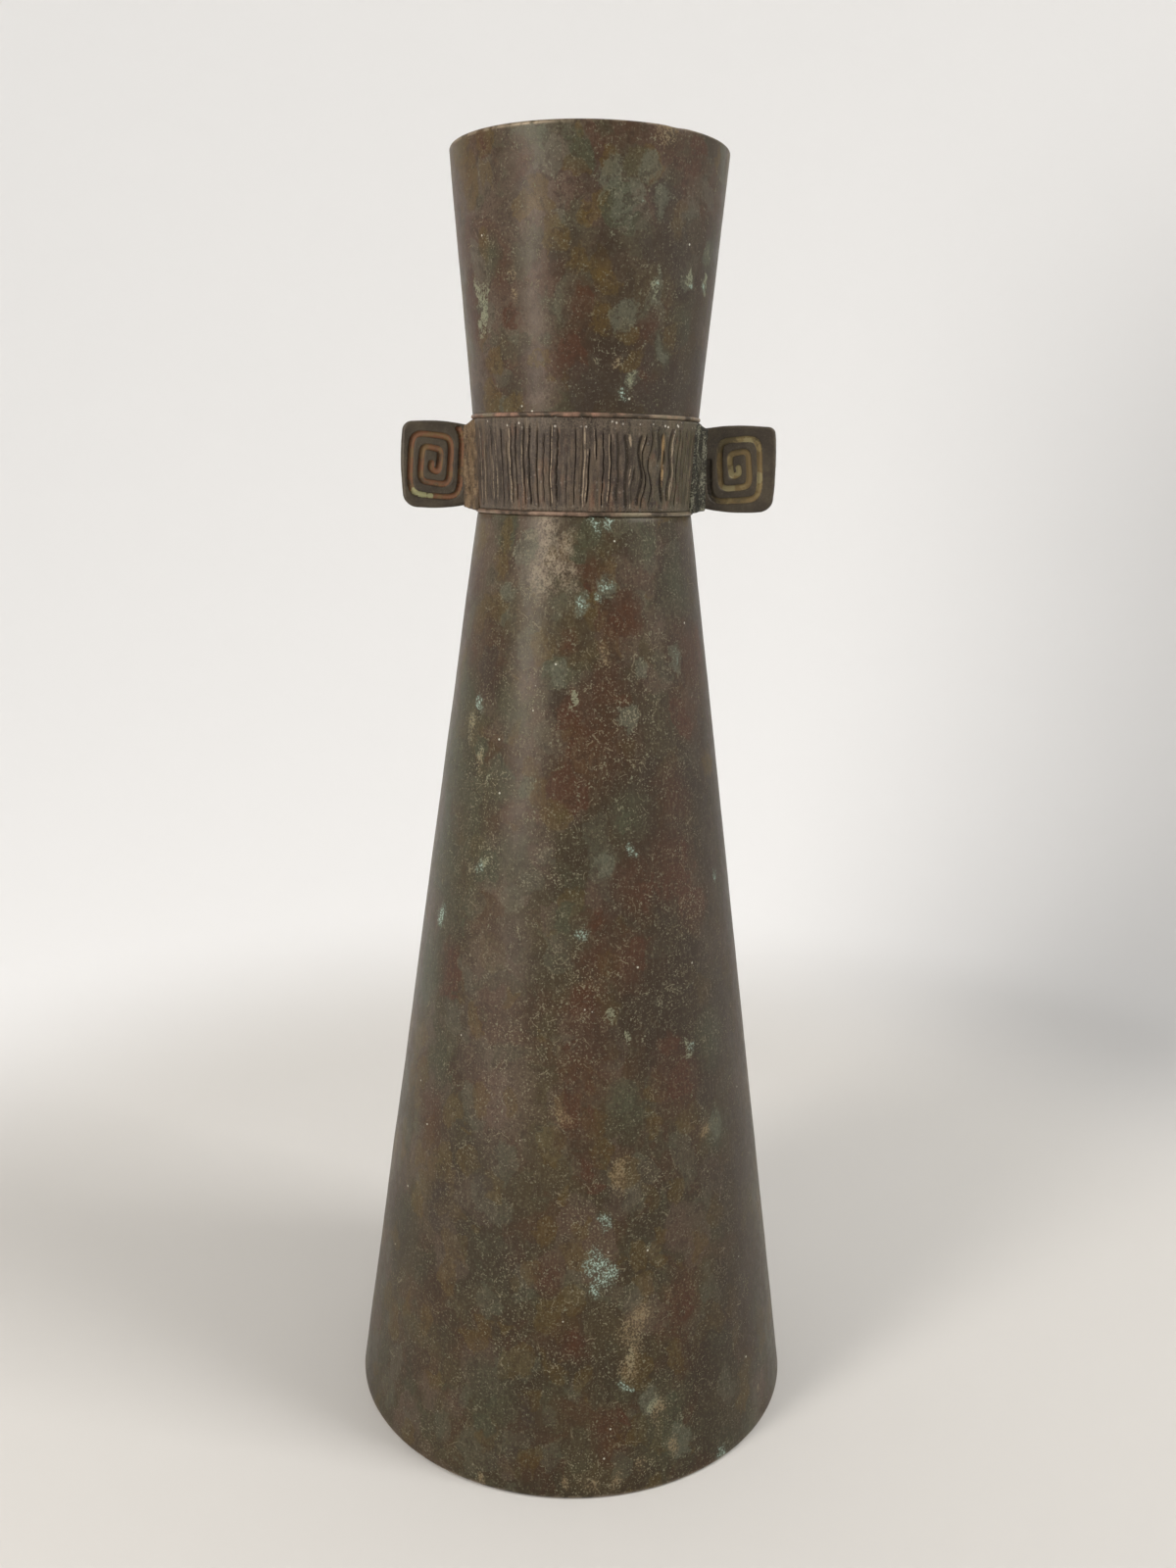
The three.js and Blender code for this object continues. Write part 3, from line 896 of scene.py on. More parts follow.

# Stains, painted light and painted shade, listed one by one: degrees from the front, to the right; height
# and size in mm
BODY_STAINS_AND_PAINTED_LIGHT = {
    "red": (
        (17, 180, 4.5), (5, 190, 3), (-65, 189, 4), (0, 162, 4.5), (4, 157, 7.5), (-1, 150, 5),
        (12, 168, 4.5), (40, 145, 5), (38, 131, 7), (21, 128, 5), (46, 122, 5), (4, 116, 5.5),
        (17, 113, 5), (4, 104, 5.5), (-50, 108, 5), (3, 90, 6.5), (1, 81, 5.5), (33, 87, 6), (4, 70, 3.5),
        (31, 38, 5.5), (-6, 48, 3.5), (1, 33, 3), (9, 14, 4), (-48, 172, 6), (-50, 74, 5.5),
        (51, 163, 5.5), (58, 172, 7),
    ),
    "rust": (
        (22, 183, 3), (24, 180, 2.4), (17, 179, 2.2), (-7, 177, 2.2), (18, 165, 1.4), (-1, 160, 2),
        (6, 121, 1.2), (3, 107, 1.6), (1, 33, 1.4),
    ),
    "green": (
        (-59, 146, 6.5), (-46, 139, 6), (-40, 132, 5), (-50, 119, 5.5), (-57, 111, 3), (-31, 132, 4),
        (-2, 121, 4.5), (20, 142, 4), (50, 93, 5), (-11, 171, 3), (24, 16, 6.5), (-53, 158, 5),
        (2, 198, 4.5), (30, 197, 4), (50, 187, 5), (-31, 163, 4), (-49, 87, 4.5), (16, 83, 4),
        (49, 73, 4), (-21, 21, 6), (-58, 165, 5), (-44, 198, 4), (-66, 150, 9), (-62, 130, 9),
        (-62, 105, 7), (-36, 146, 4),
    ),
    "spot": (
        (-27, 194, 2.4), (-38, 186, 1.6), (0, 184, 1.8), (13, 187, 1.9), (46, 172, 1.8), (27, 171, 1.6),
        (-10, 171, 2.2), (10, 132, 2), (49, 74, 2.5), (20, 19, 2.5), (29, 9, 3), (-22, 147, 2.2),
        (19, 161, 2),
    ),
    "plum": (
        (3, 179, 2.4), (19, 189, 2), (-24, 181, 1.3), (-39, 56, 6), (-17, 49, 4), (-11, 16, 5),
        (-19, 9, 4), (-27, 69, 5), (-45, 169, 4),
    ),
    # Painted highlight: mauve lightening along the left panel's highlight and on the lit left side, with a
    # few paler patches of patina
    "bloom_and_painted_light": (
        (-50, 196, 9), (-24, 197, 9), (-8, 196, 5), (-15, 164, 4), (-22, 169, 4.5), (35, 179, 3),
        (-20, 154, 5), (-20, 143, 5.5), (-14, 134, 4), (-25, 112, 6), (-30, 108, 8), (-26, 90, 8),
        (-22, 82, 8),
    ),
    # Partly painted shade: the large places on the right half, from 24 to 66 degrees, darken the side away
    # from the left panel; the small ones are dark patina
    "dark": (
        (22, 194, 2), (52, 142, 12), (42, 112, 13), (46, 86, 9), (13, 171, 3), (14, 163, 8), (20, 148, 8),
        (-9, 165, 3), (-45, 114, 3), (-44, 60, 4), (38, 25, 6), (50, 51, 4), (-40, 167, 3), (66, 150, 14),
        (62, 122, 14), (58, 95, 15), (64, 180, 12), (60, 65, 15), (58, 35, 14), (28, 122, 11),
        (24, 104, 9), (36, 98, 12), (30, 140, 10), (8, 98, 5), (54, 188, 5), (21, 182, 4),
    ),
    "ochre": ((-43, 192, 2.4), (-42, 197, 2.4), (-70, 196, 4), (66, 150, 3), (-53, 54, 3)),
    "dust": (
        (-20, 87, 10), (22, 70, 5), (4, 59, 6), (15, 42, 8.5), (25, 17, 8), (5, 5, 8), (18, 5, 7),
        (11, 155, 7), (3, 170, 5), (24, 160, 5.5), (48, 120, 4.5), (-17, 41, 7.5), (-3, 30, 5.5),
        (-45, 150, 5), (-37, 133, 3.5), (-11, 135, 4), (-3, 109, 5), (36, 107, 5),
    ),
    "teal": (
        (8, 185, 1), (0, 184, 1.3), (5, 199, 1.2), (12, 199, 1.2), (13, 188, 1), (8, 59, 1.5), (6, 51, 2),
        (9, 48, 2), (7, 45, 1.5), (2, 120, 1), (-49, 163, 1.2), (-58, 117, 1.8), (20, 135, 1),
        (62, 126, 1), (42, 1, 1.5), (41, 92, 1), (15, 24, 1), (-39, 130, 1), (46, 172, 1),
    ),
    "tan": (
        (19, 39, 2), (16, 35, 2.2), (16, 29, 2.2), (27, 42, 1.2), (-4, 82, 1.8), (13, 69, 2.2),
        (-52, 158, 1.8), (-45, 152, 1.2), (23, 17, 1.8), (27, 9, 1.6), (44, 74, 1.5), (-21, 1, 1),
        (10, 174, 1.4), (0, 4, 1.1), (6, 3, 1.4), (12, 4, 1.2), (18, 6, 1.4), (17, 32, 2), (18, 37, 2),
    ),
    "chalk": (
        (-52, 158, 1.4), (-45, 153, 1.1), (-40, 148, 0.8), (-38, 131, 0.8), (-2, 166, 0.7), (40, 92, 1),
        (17, 97, 0.8), (13, 102, 0.8), (16, 30, 1.2), (21, 18, 1.2),
    ),
    # Partly painted highlight: pale wear where the left panel's highlight is brightest, at the top of the
    # body
    "worn": (
        (-19, 198, 2.6), (-19, 188, 2.8), (-15, 192, 2.2), (-17, 195, 2), (-10, 190, 2.6), (-9, 195, 2.6),
        (-5, 189, 2),
    ),
}
MOUTH_STAINS_AND_PAINTED_LIGHT = {
    "red": (
        (-28, 264, 2.5), (39, 262, 4), (-39, 246, 3.5), (-7, 231, 4), (-4, 239, 3.5), (26, 227, 3),
        (-60, 240, 5), (28, 235, 3), (-35, 238, 2.5), (45, 264, 4), (-47, 268, 2),
    ),
    "rust": ((26, 227, 1), (-2, 241, 1.2)),
    "green": (
        (-20, 268, 1.5), (12, 257, 3.5), (16, 263, 4), (36, 232, 2.5), (32, 260, 3), (-5, 266, 2.5),
        (50, 237, 2.5), (-45, 249, 3), (65, 251, 3),
    ),
    "spot": (
        (15, 256, 2.4), (19, 259, 1.6), (17, 239, 2.4), (31, 243, 1.8), (36, 232, 1.6), (-20, 268, 1.2),
        (64, 251, 2), (48, 245, 1.6), (65, 245, 1.5), (-54, 239, 2.2), (22, 226, 1.6), (8, 262, 2.4),
        (24, 264, 2.2), (31, 258, 2),
    ),
    "plum": (
        (31, 252, 6.5), (27, 256, 4), (42, 252, 4), (40, 247, 3.5), (-4, 261, 2), (-26, 259, 1.8),
        (-41, 226, 1.2), (-2, 224, 4), (12, 226, 4), (32, 225, 6), (50, 228, 5),
    ),
    # Painted highlight: mauve lightening along the left panel's highlight and on the lit left side of the
    # mouth, with a few paler patches of patina
    "bloom_and_painted_light": (
        (-55, 256, 12), (-50, 236, 11), (-16, 263, 4), (-23, 254, 5), (-22, 245, 4.5), (-24, 236, 5),
        (-24, 226, 5), (40, 260, 4.5), (0, 267, 4), (2, 258, 6), (15, 258, 7), (24, 262, 5), (6, 254, 7),
        (-4, 262, 5),
    ),
    # Partly painted shade: the two large places at the right edge, at 60 and 66 degrees, darken the side
    # away from the left panel; the rest are dark patina
    "dark": (
        (8, 250, 3), (48, 243, 3), (10, 225, 6), (-70, 256, 2), (34, 250, 3.5), (60, 230, 9),
        (66, 245, 9), (12, 233, 4), (3, 224, 6), (17, 227, 7), (28, 224, 6), (41, 226, 6), (10, 230, 6),
        (24, 230, 6),
    ),
    "ochre": (
        (1, 255, 2.2), (4, 258, 1.6), (-3, 248, 2.6), (8, 243, 1.8), (8, 237, 2.4), (19, 235, 2),
        (-62, 269, 3), (20, 230, 2),
    ),
    "dust": ((-50, 252, 4), (14, 231, 3), (58, 250, 3)),
    "teal": ((31, 244, 0.8), (50, 245, 0.8), (64, 244, 0.9), (18, 223, 0.9), (20, 258, 0.7)),
    "tan": (
        (-32, 246, 0.9), (-34, 242, 0.8), (31, 270, 1.4), (28, 271, 1.2), (34, 270, 1), (12, 230, 0.8),
        (18, 232, 0.6),
    ),
    "chalk": (
        (-54, 241, 1.8), (-54, 238, 1.8), (30, 244, 1.1), (48, 246, 1), (65, 245, 1), (22, 226, 1),
        (66, 252, 1),
    ),
    "worn": ((-33, 246, 0.5),),
}

# How far a listed stain, or patch of painted light or shade, reaches, over its size
MARK_REACH = 1.7


def stain_and_light_cover(finish, at, wall, places, upright):
    """Cover of one listed kind of stain, or of painted light or shade: 1 in the middle of each of its
    places, fading out softly.
    """
    plain = finish.stretched(upright, at)

    def spot(degrees, height, size):
        angle = math.radians(degrees)
        radius = wall(height * MM) / MM
        middle = (radius * math.sin(angle), -radius * math.cos(angle), height * upright)
        return finish.fade(finish.measure("DISTANCE", plain, middle), 0.0, size * MARK_REACH)

    return finish.union(spot(*place) for place in places)


def aged_bronze(name, wall, low, high, tones, placed, mosaic, brushed, dusting):
    """Olive-brown patina with soft patches of other colours and a dusting of pale flecks and fibres; some
    of the listed patches are painted highlight and painted shade.
    """
    finish = Finish(name)
    drift = finish.wander(8.0, 6.0, 1.3)
    ragged = finish.wander(1.7, 2.4, 2.1, drift)
    marked = finish.folded(ragged, low, high)
    broad = finish.noise(26.0, 3.0, 3.0, 0.5, drift)
    middling = finish.noise(2.4, 5.2)
    speck = finish.noise(0.42, 6.1, 2.0, 0.55)
    brush = finish.noise(0.5, 7.7, 2.0, 0.5, finish.stretched(0.07))

    def patches(size, seed, start, full):
        return finish.step(finish.noise(size, seed, 4.0, 0.55, ragged), start, full) * mosaic

    def covered(kind, upright):
        return stain_and_light_cover(finish, marked, wall, placed[kind], upright)

    def uneven_wash(cover):
        return cover * finish.step(cover * 0.7 + middling, 0.55, 0.85)

    def soft(kind, upright):
        """A listed stain, or patch of painted light, that fades out unevenly."""
        return uneven_wash(covered(kind, upright))

    def edged(kind, upright):
        """A listed patch with a plain, ragged edge."""
        cover = covered(kind, upright)
        broken = cover + (middling - 0.5) * 1.4 + (speck - 0.5) * 0.7
        return finish.step(broken, 0.22, 0.58) * finish.step(cover + middling, 0.3, 0.9)

    def dabs(size, seed, level, favour=0.0):
        """Patches with plain edges, as if dabbed on: a few anywhere, more where favoured."""
        cell = finish.cells(size, seed, finish.stretched(0.75, ragged))
        chosen = finish.step(cell["Chance"] + favour, level, level + 0.06)
        return chosen * finish.fade(cell["Distance"], 0.54, 0.66)

    def zone(kind, size, seed, washed):
        """Dabs of one colour where it was listed, in a soft wash of it."""
        cover = covered(kind, 0.7)
        wash = uneven_wash(cover)
        return finish.larger(dabs(size, seed, 0.95, cover * 0.54), wash * washed)

    def flecked(kind, strength, upright):
        """A listed deposit that breaks up into flecks away from its middle."""
        cover = covered(kind, upright)
        return cover, finish.step(cover * strength + speck + (middling - 0.5) * 0.35, 0.58, 0.86)

    finish.ground(broad, 0.36, 0.64, *tones)
    # Painted highlight: these places lighten the left panel's highlight and the lit left side in mauve; a
    # few are paler patina
    finish.coat(soft("bloom_and_painted_light", 0.6) * 0.6, MAUVE_BROWN)
    finish.coat(patches(13.0, 4.4, 0.49, 0.58) * 0.45, RED_BROWN)
    finish.coat(patches(8.0, 8.2, 0.52, 0.6) * 0.45, OLIVE_GREEN)
    for size, seed, level, share, tone in (
        (9.0, 71.0, 0.62, 0.42, MAUVE_BROWN),
        (7.0, 72.0, 0.62, 0.4, DARK_BROWN),
        (5.5, 73.0, 0.64, 0.3, GREY_GREEN),
        (5.0, 74.0, 0.64, 0.5, OCHRE),
    ):
        finish.coat(dabs(size, seed, level) * share * mosaic, tone)
    # Partly painted shade: the large "dark" places darken the vase's right side
    for kind, size, seed, washed, share, tone in (
        ("dark", 7.0, 75.0, 0.9, 0.85, DARK_BROWN),
        ("red", 7.5, 76.0, 0.8, 0.9, RED_BROWN),
        ("green", 6.0, 77.0, 0.8, 0.9, OLIVE_GREEN),
        ("plum", 6.5, 78.0, 0.55, 0.7, PLUM),
    ):
        finish.coat(zone(kind, size, seed, washed) * share, tone)
    finish.coat(edged("ochre", 0.8) * 0.55, OCHRE)
    finish.coat(soft("rust", 0.8) * 0.85, RUST)
    spots = edged("spot", 0.7)
    finish.coat(spots * 0.6, GREY_GREEN)
    chalk = edged("chalk", 0.5) * finish.step(speck + (middling - 0.5) * 0.5, 0.4, 0.56)
    finish.coat(chalk * 0.75, CHALK)
    # Partly painted highlight: the pale worn places also brighten the top of the left panel's highlight
    worn = soft("worn", 0.7) * finish.step(speck + middling, 0.74, 1.22)
    finish.coat(worn * 0.88, WEAR_AND_HIGHLIGHT_BEIGE)

    finish.coat(patches(1.6, 18.0, 0.53, 0.61) * 0.42, DARK_BROWN)
    grain = finish.noise(0.75, 19.0, 2.0, 0.5)
    finish.coat(finish.step(grain, 0.54, 0.7) * (0.07 + 0.06 * dusting), PALE_DUST)
    finish.coat(finish.step(brush, 0.5, 0.78) * 0.1 * brushed, PALE_DUST)
    finish.coat(finish.step(brush, 0.5, 0.22) * 0.28 * brushed, DARK_BROWN)
    finish.tint(speck, 0.48, 0.3, 0.48, DARK_BROWN)

    here_and_there = finish.step(finish.noise(11.0, 12.0, 3.0, 0.55), 0.42, 0.68)
    dust = covered("dust", 0.8) * 0.6 + here_and_there * 0.5 * dusting
    flecks = finish.step(speck + dust * 0.06 + (middling - 0.5) * 0.3, 0.63, 0.7)
    finish.coat(flecks * (dust * 0.6 + 0.13 * dusting), PALE_DUST)
    fibres = finish.larger(finish.fibres(3.4, 13.5, 0.08, 0.9), finish.fibres(5.0, 14.5, 0.1, 1.4))
    fibres = fibres * finish.step(dust + (middling - 0.5) * 1.6, 0.0, 0.4)
    finish.coat(fibres * 0.44, PALE_DUST)
    dot = finish.fade(finish.cells(4.6, 16.0)["Distance"], 0.035, 0.06)
    chance = finish.step(finish.noise(7.0, 17.0, 1.0, 0.5), 0.52, 0.56)
    finish.coat(dot * chance * 0.8, WHITE_SPECK)

    tan_halo, tan_flecks = flecked("tan", 0.26, 0.6)
    finish.coat(tan_halo * 0.1, PALE_TAN)
    finish.coat(tan_flecks * finish.step(speck + middling, 0.75, 1.1) * 0.8, PALE_TAN)
    teal_halo, teal_flecks = flecked("teal", 0.3, 0.8)
    finish.coat(teal_halo * 0.4, GREY_GREEN)
    finish.coat(teal_flecks * 0.7, VERDIGRIS)
    finish.coat(teal_flecks * teal_halo * finish.step(speck, 0.48, 0.62), BLUE_GREEN)

    inside = finish.step(finish.inwards(low, high), 1.1, 1.9)
    finish.coat(inside * 0.8, INNER_BROWN)

    rim = RIM_HEIGHT / MM
    # Partly painted highlight: the pale line just under the rim is wear, laid only on the left, where the
    # left panel's light catches it
    lip_wear_and_highlight = finish.step(finish.z, rim - 0.9, rim - 0.5) * finish.fade(finish.x, -14.0, 4.0)
    edge = finish.union((finish.step(finish.z, rim - 0.5, rim), lip_wear_and_highlight, finish.fade(finish.z, 0.25, 1.1)))
    bare_edge_and_highlight = edge * finish.step(middling, 0.4, 0.56)
    finish.coat(bare_edge_and_highlight * 0.85, WEAR_AND_HIGHLIGHT_BEIGE)

    crust = finish.larger(teal_flecks, tan_flecks)
    rough = 0.4 + (middling - 0.5) * 0.25 + (speck - 0.5) * 0.2 + crust * 0.3 + spots * 0.1 + inside * 0.2
    relief = speck * 0.5 + middling * 0.6 + brush * 0.3 + crust * 0.7 + fibres * 0.3
    normal = finish.bump(relief, 0.3, 0.12 * MM)
    return finish.wear(rough, bare_edge_and_highlight * 0.4, normal)


# The one bright streak on the band
GOLD_ANGLE = math.radians(42)
GOLD_HEIGHT = 211.0 * MM
GOLD_SHRINK = 0.06


def combed_bronze():
    """Brown-grey ridges, grooves darkened as painted shade, a coppery blush, and pale dust along the top
    edge.
    """
    finish = Finish("combed bronze")
    gold_radius = collar_radius(GOLD_HEIGHT) / MM
    gold_across = gold_radius * math.sin(GOLD_ANGLE)
    gold_middle = (gold_across, -gold_radius * math.cos(GOLD_ANGLE), GOLD_HEIGHT / MM * GOLD_SHRINK)
    depth = finish.inwards((COLLAR_LOW_RADIUS, COLLAR_LOW), (COLLAR_HIGH_RADIUS, COLLAR_HIGH))
    small = finish.noise(1.6, 21.0)
    fine = finish.noise(0.35, 22.0, 3.0)
    broad = finish.noise(9.0, 23.0)
    upright = finish.noise(0.9, 24.0, 3.0, 0.6, finish.stretched(0.12))
    strip = finish.noise(2.2, 26.0, 3.0, 0.6, finish.stretched(0.2))

    finish.ground(small, 0.35, 0.65, paint(54, 46, 40), paint(72, 62, 54))
    blush = finish.step(broad, 0.48, 0.62) * finish.step(upright, 0.44, 0.62)
    finish.coat(blush * 0.6, paint(104, 70, 50))
    finish.tint(strip, 0.52, 0.64, 0.5, paint(92, 79, 63))
    finish.tint(strip, 0.48, 0.36, 0.6, paint(40, 33, 26))
    to_right = finish.step(finish.x, 4.0, 20.0)
    finish.coat(to_right * finish.step(small, 0.36, 0.54) * 0.75, paint(66, 63, 44))
    finish.tint(upright, 0.55, 0.7, 0.45, paint(106, 95, 80))
    finish.tint(upright, 0.46, 0.32, 0.55, paint(38, 32, 26))
    burr = finish.step(depth, -0.03, -0.09) * finish.step(fine + small, 0.75, 1.05)
    finish.coat(burr * 0.8, paint(150, 134, 112))
    # Painted shade: the grooves' colour is darkened where they are cut deep, for the shade inside them
    groove = finish.step(depth + (fine - 0.5) * 0.12, 0.05, 0.2)
    finish.coat(groove * 0.8, paint(32, 26, 20))
    top = finish.step(finish.z, COLLAR_HIGH / MM - 3.0, COLLAR_HIGH / MM - 1.4)
    low = finish.fade(finish.z, COLLAR_LOW / MM + 0.6, COLLAR_LOW / MM + 1.8)
    margin = finish.larger(top, low)
    finish.coat(margin * 0.5 * finish.step(fine, 0.4, 0.62), paint(96, 87, 73))
    finish.tint(fine, 0.56, 0.7, 0.4, paint(112, 99, 82))
    finish.tint(fine, 0.46, 0.3, 0.5, paint(36, 30, 24))
    dust = finish.fade(finish.cells(1.3, 25.0)["Distance"], 0.12, 0.22) * finish.step(broad, 0.42, 0.55)
    finish.coat(dust * (top * 0.75 + 0.1), paint(196, 190, 178))
    rough = 0.5 + groove * 0.25 + (fine - 0.5) * 0.2
    normal = finish.bump(fine * 0.7 + small * 0.6 + upright * 0.5, 0.5, 0.15 * MM)
    from_gold = finish.measure("DISTANCE", finish.stretched(GOLD_SHRINK), gold_middle)
    gold = finish.fade(from_gold, 0.2, 0.5) * finish.step(fine + small, 0.7, 1.0)
    finish.coat(gold * 0.85, paint(170, 140, 98))
    return finish.wear(rough, 0.0, normal)


def ear_bronze(name, side, groove_colors, deposit, deposit_places, bare_from, seed):
    """Smooth dark faces, worn edges, and a groove that holds colour and deposit, its walls darkened as
    painted shade.
    """
    finish = Finish(name)
    dull, copper, ochre = groove_colors
    ragged = finish.wander(1.0, 1.0, seed)
    small = finish.noise(2.0, seed + 1)
    fine = finish.noise(0.35, seed + 2, 3.0)
    broad = finish.noise(5.0, seed + 3)
    finish.ground(broad, 0.38, 0.62, paint(50, 44, 37), paint(64, 57, 46))
    finish.tint(small, 0.54, 0.7, 0.45, paint(74, 66, 52))
    finish.tint(fine, 0.55, 0.72, 0.35, paint(94, 85, 70))
    finish.tint(fine, 0.45, 0.28, 0.4, paint(34, 29, 24))

    out = abs(finish.x)
    up = abs(finish.z - EAR_MIDDLE / MM)
    face = abs(finish.y)
    half = (EAR_TOP - EAR_BOTTOM) / 2 / MM
    from_edge = finish.larger(out - EAR_TIPS[side] / MM, up - half)
    within = finish.fade(from_edge, -1.4, -1.1) * finish.step(out, 24.2, 24.8)
    sink = EAR_HALF_THICKNESS / MM - face
    sunk = finish.step(sink + (fine - 0.5) * 0.16, 0.1, 0.3) * within
    # Painted shade: the groove's walls are darkened, for the shade along its edges
    wall = finish.step(sink, 0.02, 0.14) * within
    finish.coat(wall * 0.6, paint(38, 33, 28))
    lining = finish.mix(finish.step(broad, 0.4, 0.52), dull, copper)
    lining = finish.mix(finish.step(small, 0.5, 0.62), lining, ochre)
    lined = sunk * finish.step(out + (small - 0.5) * 4.0, bare_from, bare_from + 1.5)
    finish.coat(lined * 0.9, lining)
    flat = finish.vector("MULTIPLY", ragged, (1.0, 0.0, 1.0))
    cover = finish.union(
        finish.fade(finish.measure("DISTANCE", flat, (x, 0.0, z)), size * 0.3, size * 1.3)
        for x, z, size in deposit_places
    )
    crust = finish.step(cover * (sunk * 0.75 + 0.2) + (fine - 0.5) * 0.7, 0.4, 0.65)
    finish.coat(crust * 0.7, deposit)

    worn = finish.step(from_edge, -0.9, -0.3) * finish.step(small, 0.35, 0.6)
    finish.coat(worn * 0.45, paint(92, 84, 70))
    rough = 0.4 + (small - 0.5) * 0.2 + sunk * 0.2 + crust * 0.3
    normal = finish.bump(fine * 0.5 + small * 0.5 + crust, 0.3, 0.12 * MM)
    return finish.wear(rough, worn * 0.2, normal)


def bead_copper(name, bright, dark_share, seed):
    """Worn copper colour, broken by dark patches and pale green."""
    finish = Finish(name)
    broad = finish.noise(7.0, seed)
    small = finish.noise(2.0, seed + 1)
    fine = finish.noise(0.4, seed + 2, 3.0)
    finish.ground(small, 0.38, 0.62, paint(96, 79, 66), bright)
    to_right = finish.step(finish.x, 0.0, 16.0)
    finish.coat(to_right * 0.6, paint(116, 110, 90))
    finish.coat(finish.step(broad, 1 - dark_share, 1.1 - dark_share), paint(58, 50, 41))
    finish.tint(broad, 0.44, 0.36, 0.6, paint(120, 114, 94))
    finish.tint(fine, 0.54, 0.68, 0.5, paint(64, 52, 43))
    rough = 0.45 + (small - 0.5) * 0.3
    return finish.wear(rough, 0.15, finish.bump(small + fine * 0.5, 0.4, 0.1 * MM))


def braze_metal(name, low, high, residue, amount, seed):
    """Rough braze, darker in its hollows, with a film of residue."""
    finish = Finish(name)
    small = finish.noise(1.4, seed, 4.0, 0.62)
    fine = finish.noise(0.35, seed + 1, 3.0)
    upright = finish.noise(1.4, seed + 2, 3.0, 0.6, finish.stretched(0.3))
    finish.ground(upright, 0.36, 0.64, low, high)
    finish.tint(small, 0.46, 0.34, 0.7, paint(36, 31, 26))
    film = finish.step(upright * 0.5 + small * 0.5 + (fine - 0.5) * 0.8, 0.5, 0.64)
    finish.coat(film * amount, residue)
    finish.tint(fine, 0.46, 0.32, 0.5, paint(34, 29, 24))
    rough = 0.58 + (fine - 0.5) * 0.3
    return finish.wear(rough, 0.05, finish.bump(fine + small, 0.55, 0.2 * MM))


def dull_solder():
    finish = Finish("dull solder")
    small = finish.noise(3.0, 61.0)
    fine = finish.noise(0.6, 62.0, 3.0)
    finish.ground(small, 0.36, 0.62, paint(84, 82, 76), paint(126, 124, 116))
    finish.tint(fine, 0.58, 0.7, 0.5, paint(70, 66, 56))
    return finish.wear(0.55 + (small - 0.5) * 0.3, 0.4, finish.bump(fine + small, 0.4, 0.15 * MM))


body_finish = aged_bronze(
    "aged bronze body",
    body_radius,
    (FOOT_RADIUS, FOOT_EDGE),
    (BODY_TOP_RADIUS, LOWER_SEAM),
    (DEEP_OLIVE, OLIVE_BROWN),
    BODY_STAINS_AND_PAINTED_LIGHT,
    mosaic=0.9,
    brushed=0.8,
    dusting=1.0,
)
mouth_finish = aged_bronze(
    "aged bronze mouth",
    mouth_radius,
    (NECK_RADIUS, UPPER_SEAM),
    (RIM_RADIUS, RIM_HEIGHT),
    (UMBER, OLIVE_BROWN),
    MOUTH_STAINS_AND_PAINTED_LIGHT,
    mosaic=1.1,
    brushed=0.3,
    dusting=0.1,
)
lower_bead_finish = bead_copper("lower bead copper", paint(124, 103, 88), dark_share=0.52, seed=31.0)
upper_bead_finish = bead_copper("upper bead copper", paint(140, 108, 91), dark_share=0.46, seed=35.0)
left_ear_finish = ear_bronze(
    "left ear bronze",
    LEFT,
    (paint(76, 64, 48), paint(108, 74, 52), paint(106, 84, 56)),
    paint(150, 150, 112),
    ((-35.2, 204.6, 1.2), (-33.8, 203.9, 1.2), (-32.2, 203.7, 0.9)),
    bare_from=23.0,
    seed=41.0,
)
right_ear_finish = ear_bronze(
    "right ear bronze",
    RIGHT,
    (paint(92, 82, 58), paint(116, 98, 66), paint(132, 116, 80)),
    paint(142, 134, 100),
    ((30, 206.4, 1.6), (31.6, 210, 1.8), (30.4, 209.2, 1.2), (33.6, 215.6, 1.4), (36.2, 208.5, 1.4)),
    bare_from=26.5,
    seed=46.0,
)
left_braze_finish = braze_metal(
    "left braze", paint(70, 57, 43), paint(102, 82, 60), paint(120, 105, 82), amount=0.55, seed=51.0
)
right_braze_finish = braze_metal(
    "right braze", paint(28, 29, 24), paint(48, 46, 37), paint(126, 125, 107), amount=0.7, seed=55.0
)

finish_piece(make_lower_body(), "lower_body", body_finish)
finish_piece(make_mouth_section(), "mouth_section", mouth_finish)
finish_piece(make_collar_band(), "collar_band", combed_bronze())
lower_bead = make_bead("lower_bead_ring", LOWER_SEAM, COLLAR_LOW, LOWER_BEAD_RADIUS)
finish_piece(lower_bead, "lower_bead", lower_bead_finish)
upper_bead = make_bead("upper_bead_ring", COLLAR_HIGH, UPPER_SEAM, UPPER_BEAD_RADIUS)
finish_piece(upper_bead, "upper_bead", upper_bead_finish)
finish_piece(make_ear("right_ear_lug", RIGHT, 0.04), "right_ear", right_ear_finish)
finish_piece(make_ear("left_ear_lug", LEFT, 0.0), "left_ear", left_ear_finish)
finish_piece(make_braze("right_ear_braze_run", RIGHT), "right_ear_braze", right_braze_finish)
finish_piece(make_braze("left_ear_braze_run", LEFT), "left_ear_braze", left_braze_finish)
finish_piece(make_base_plate(), "base_plate", body_finish)
finish_piece(make_base_solder(), "base_solder", dull_solder())

# Stage: one pale bowl, flat under the vase and swept up all round it
FLOOR_RADIUS = 0.26
SWEEP_RADIUS = 1.2
WALL_TOP = 1.9
STAGE_COLUMNS = 96
SWEEP_STEPS = 24
PAPER_ROUGHNESS = 0.9
# Painted light: the sweep is paler than the floor, for the brighter light on the wall behind the vase
FLOOR_COLOR = (0.628, 0.616, 0.592, 1)
WALL_COLOR = (0.878, 0.88, 0.88, 1)
FLOOR_FADE = (170.0, 340.0)

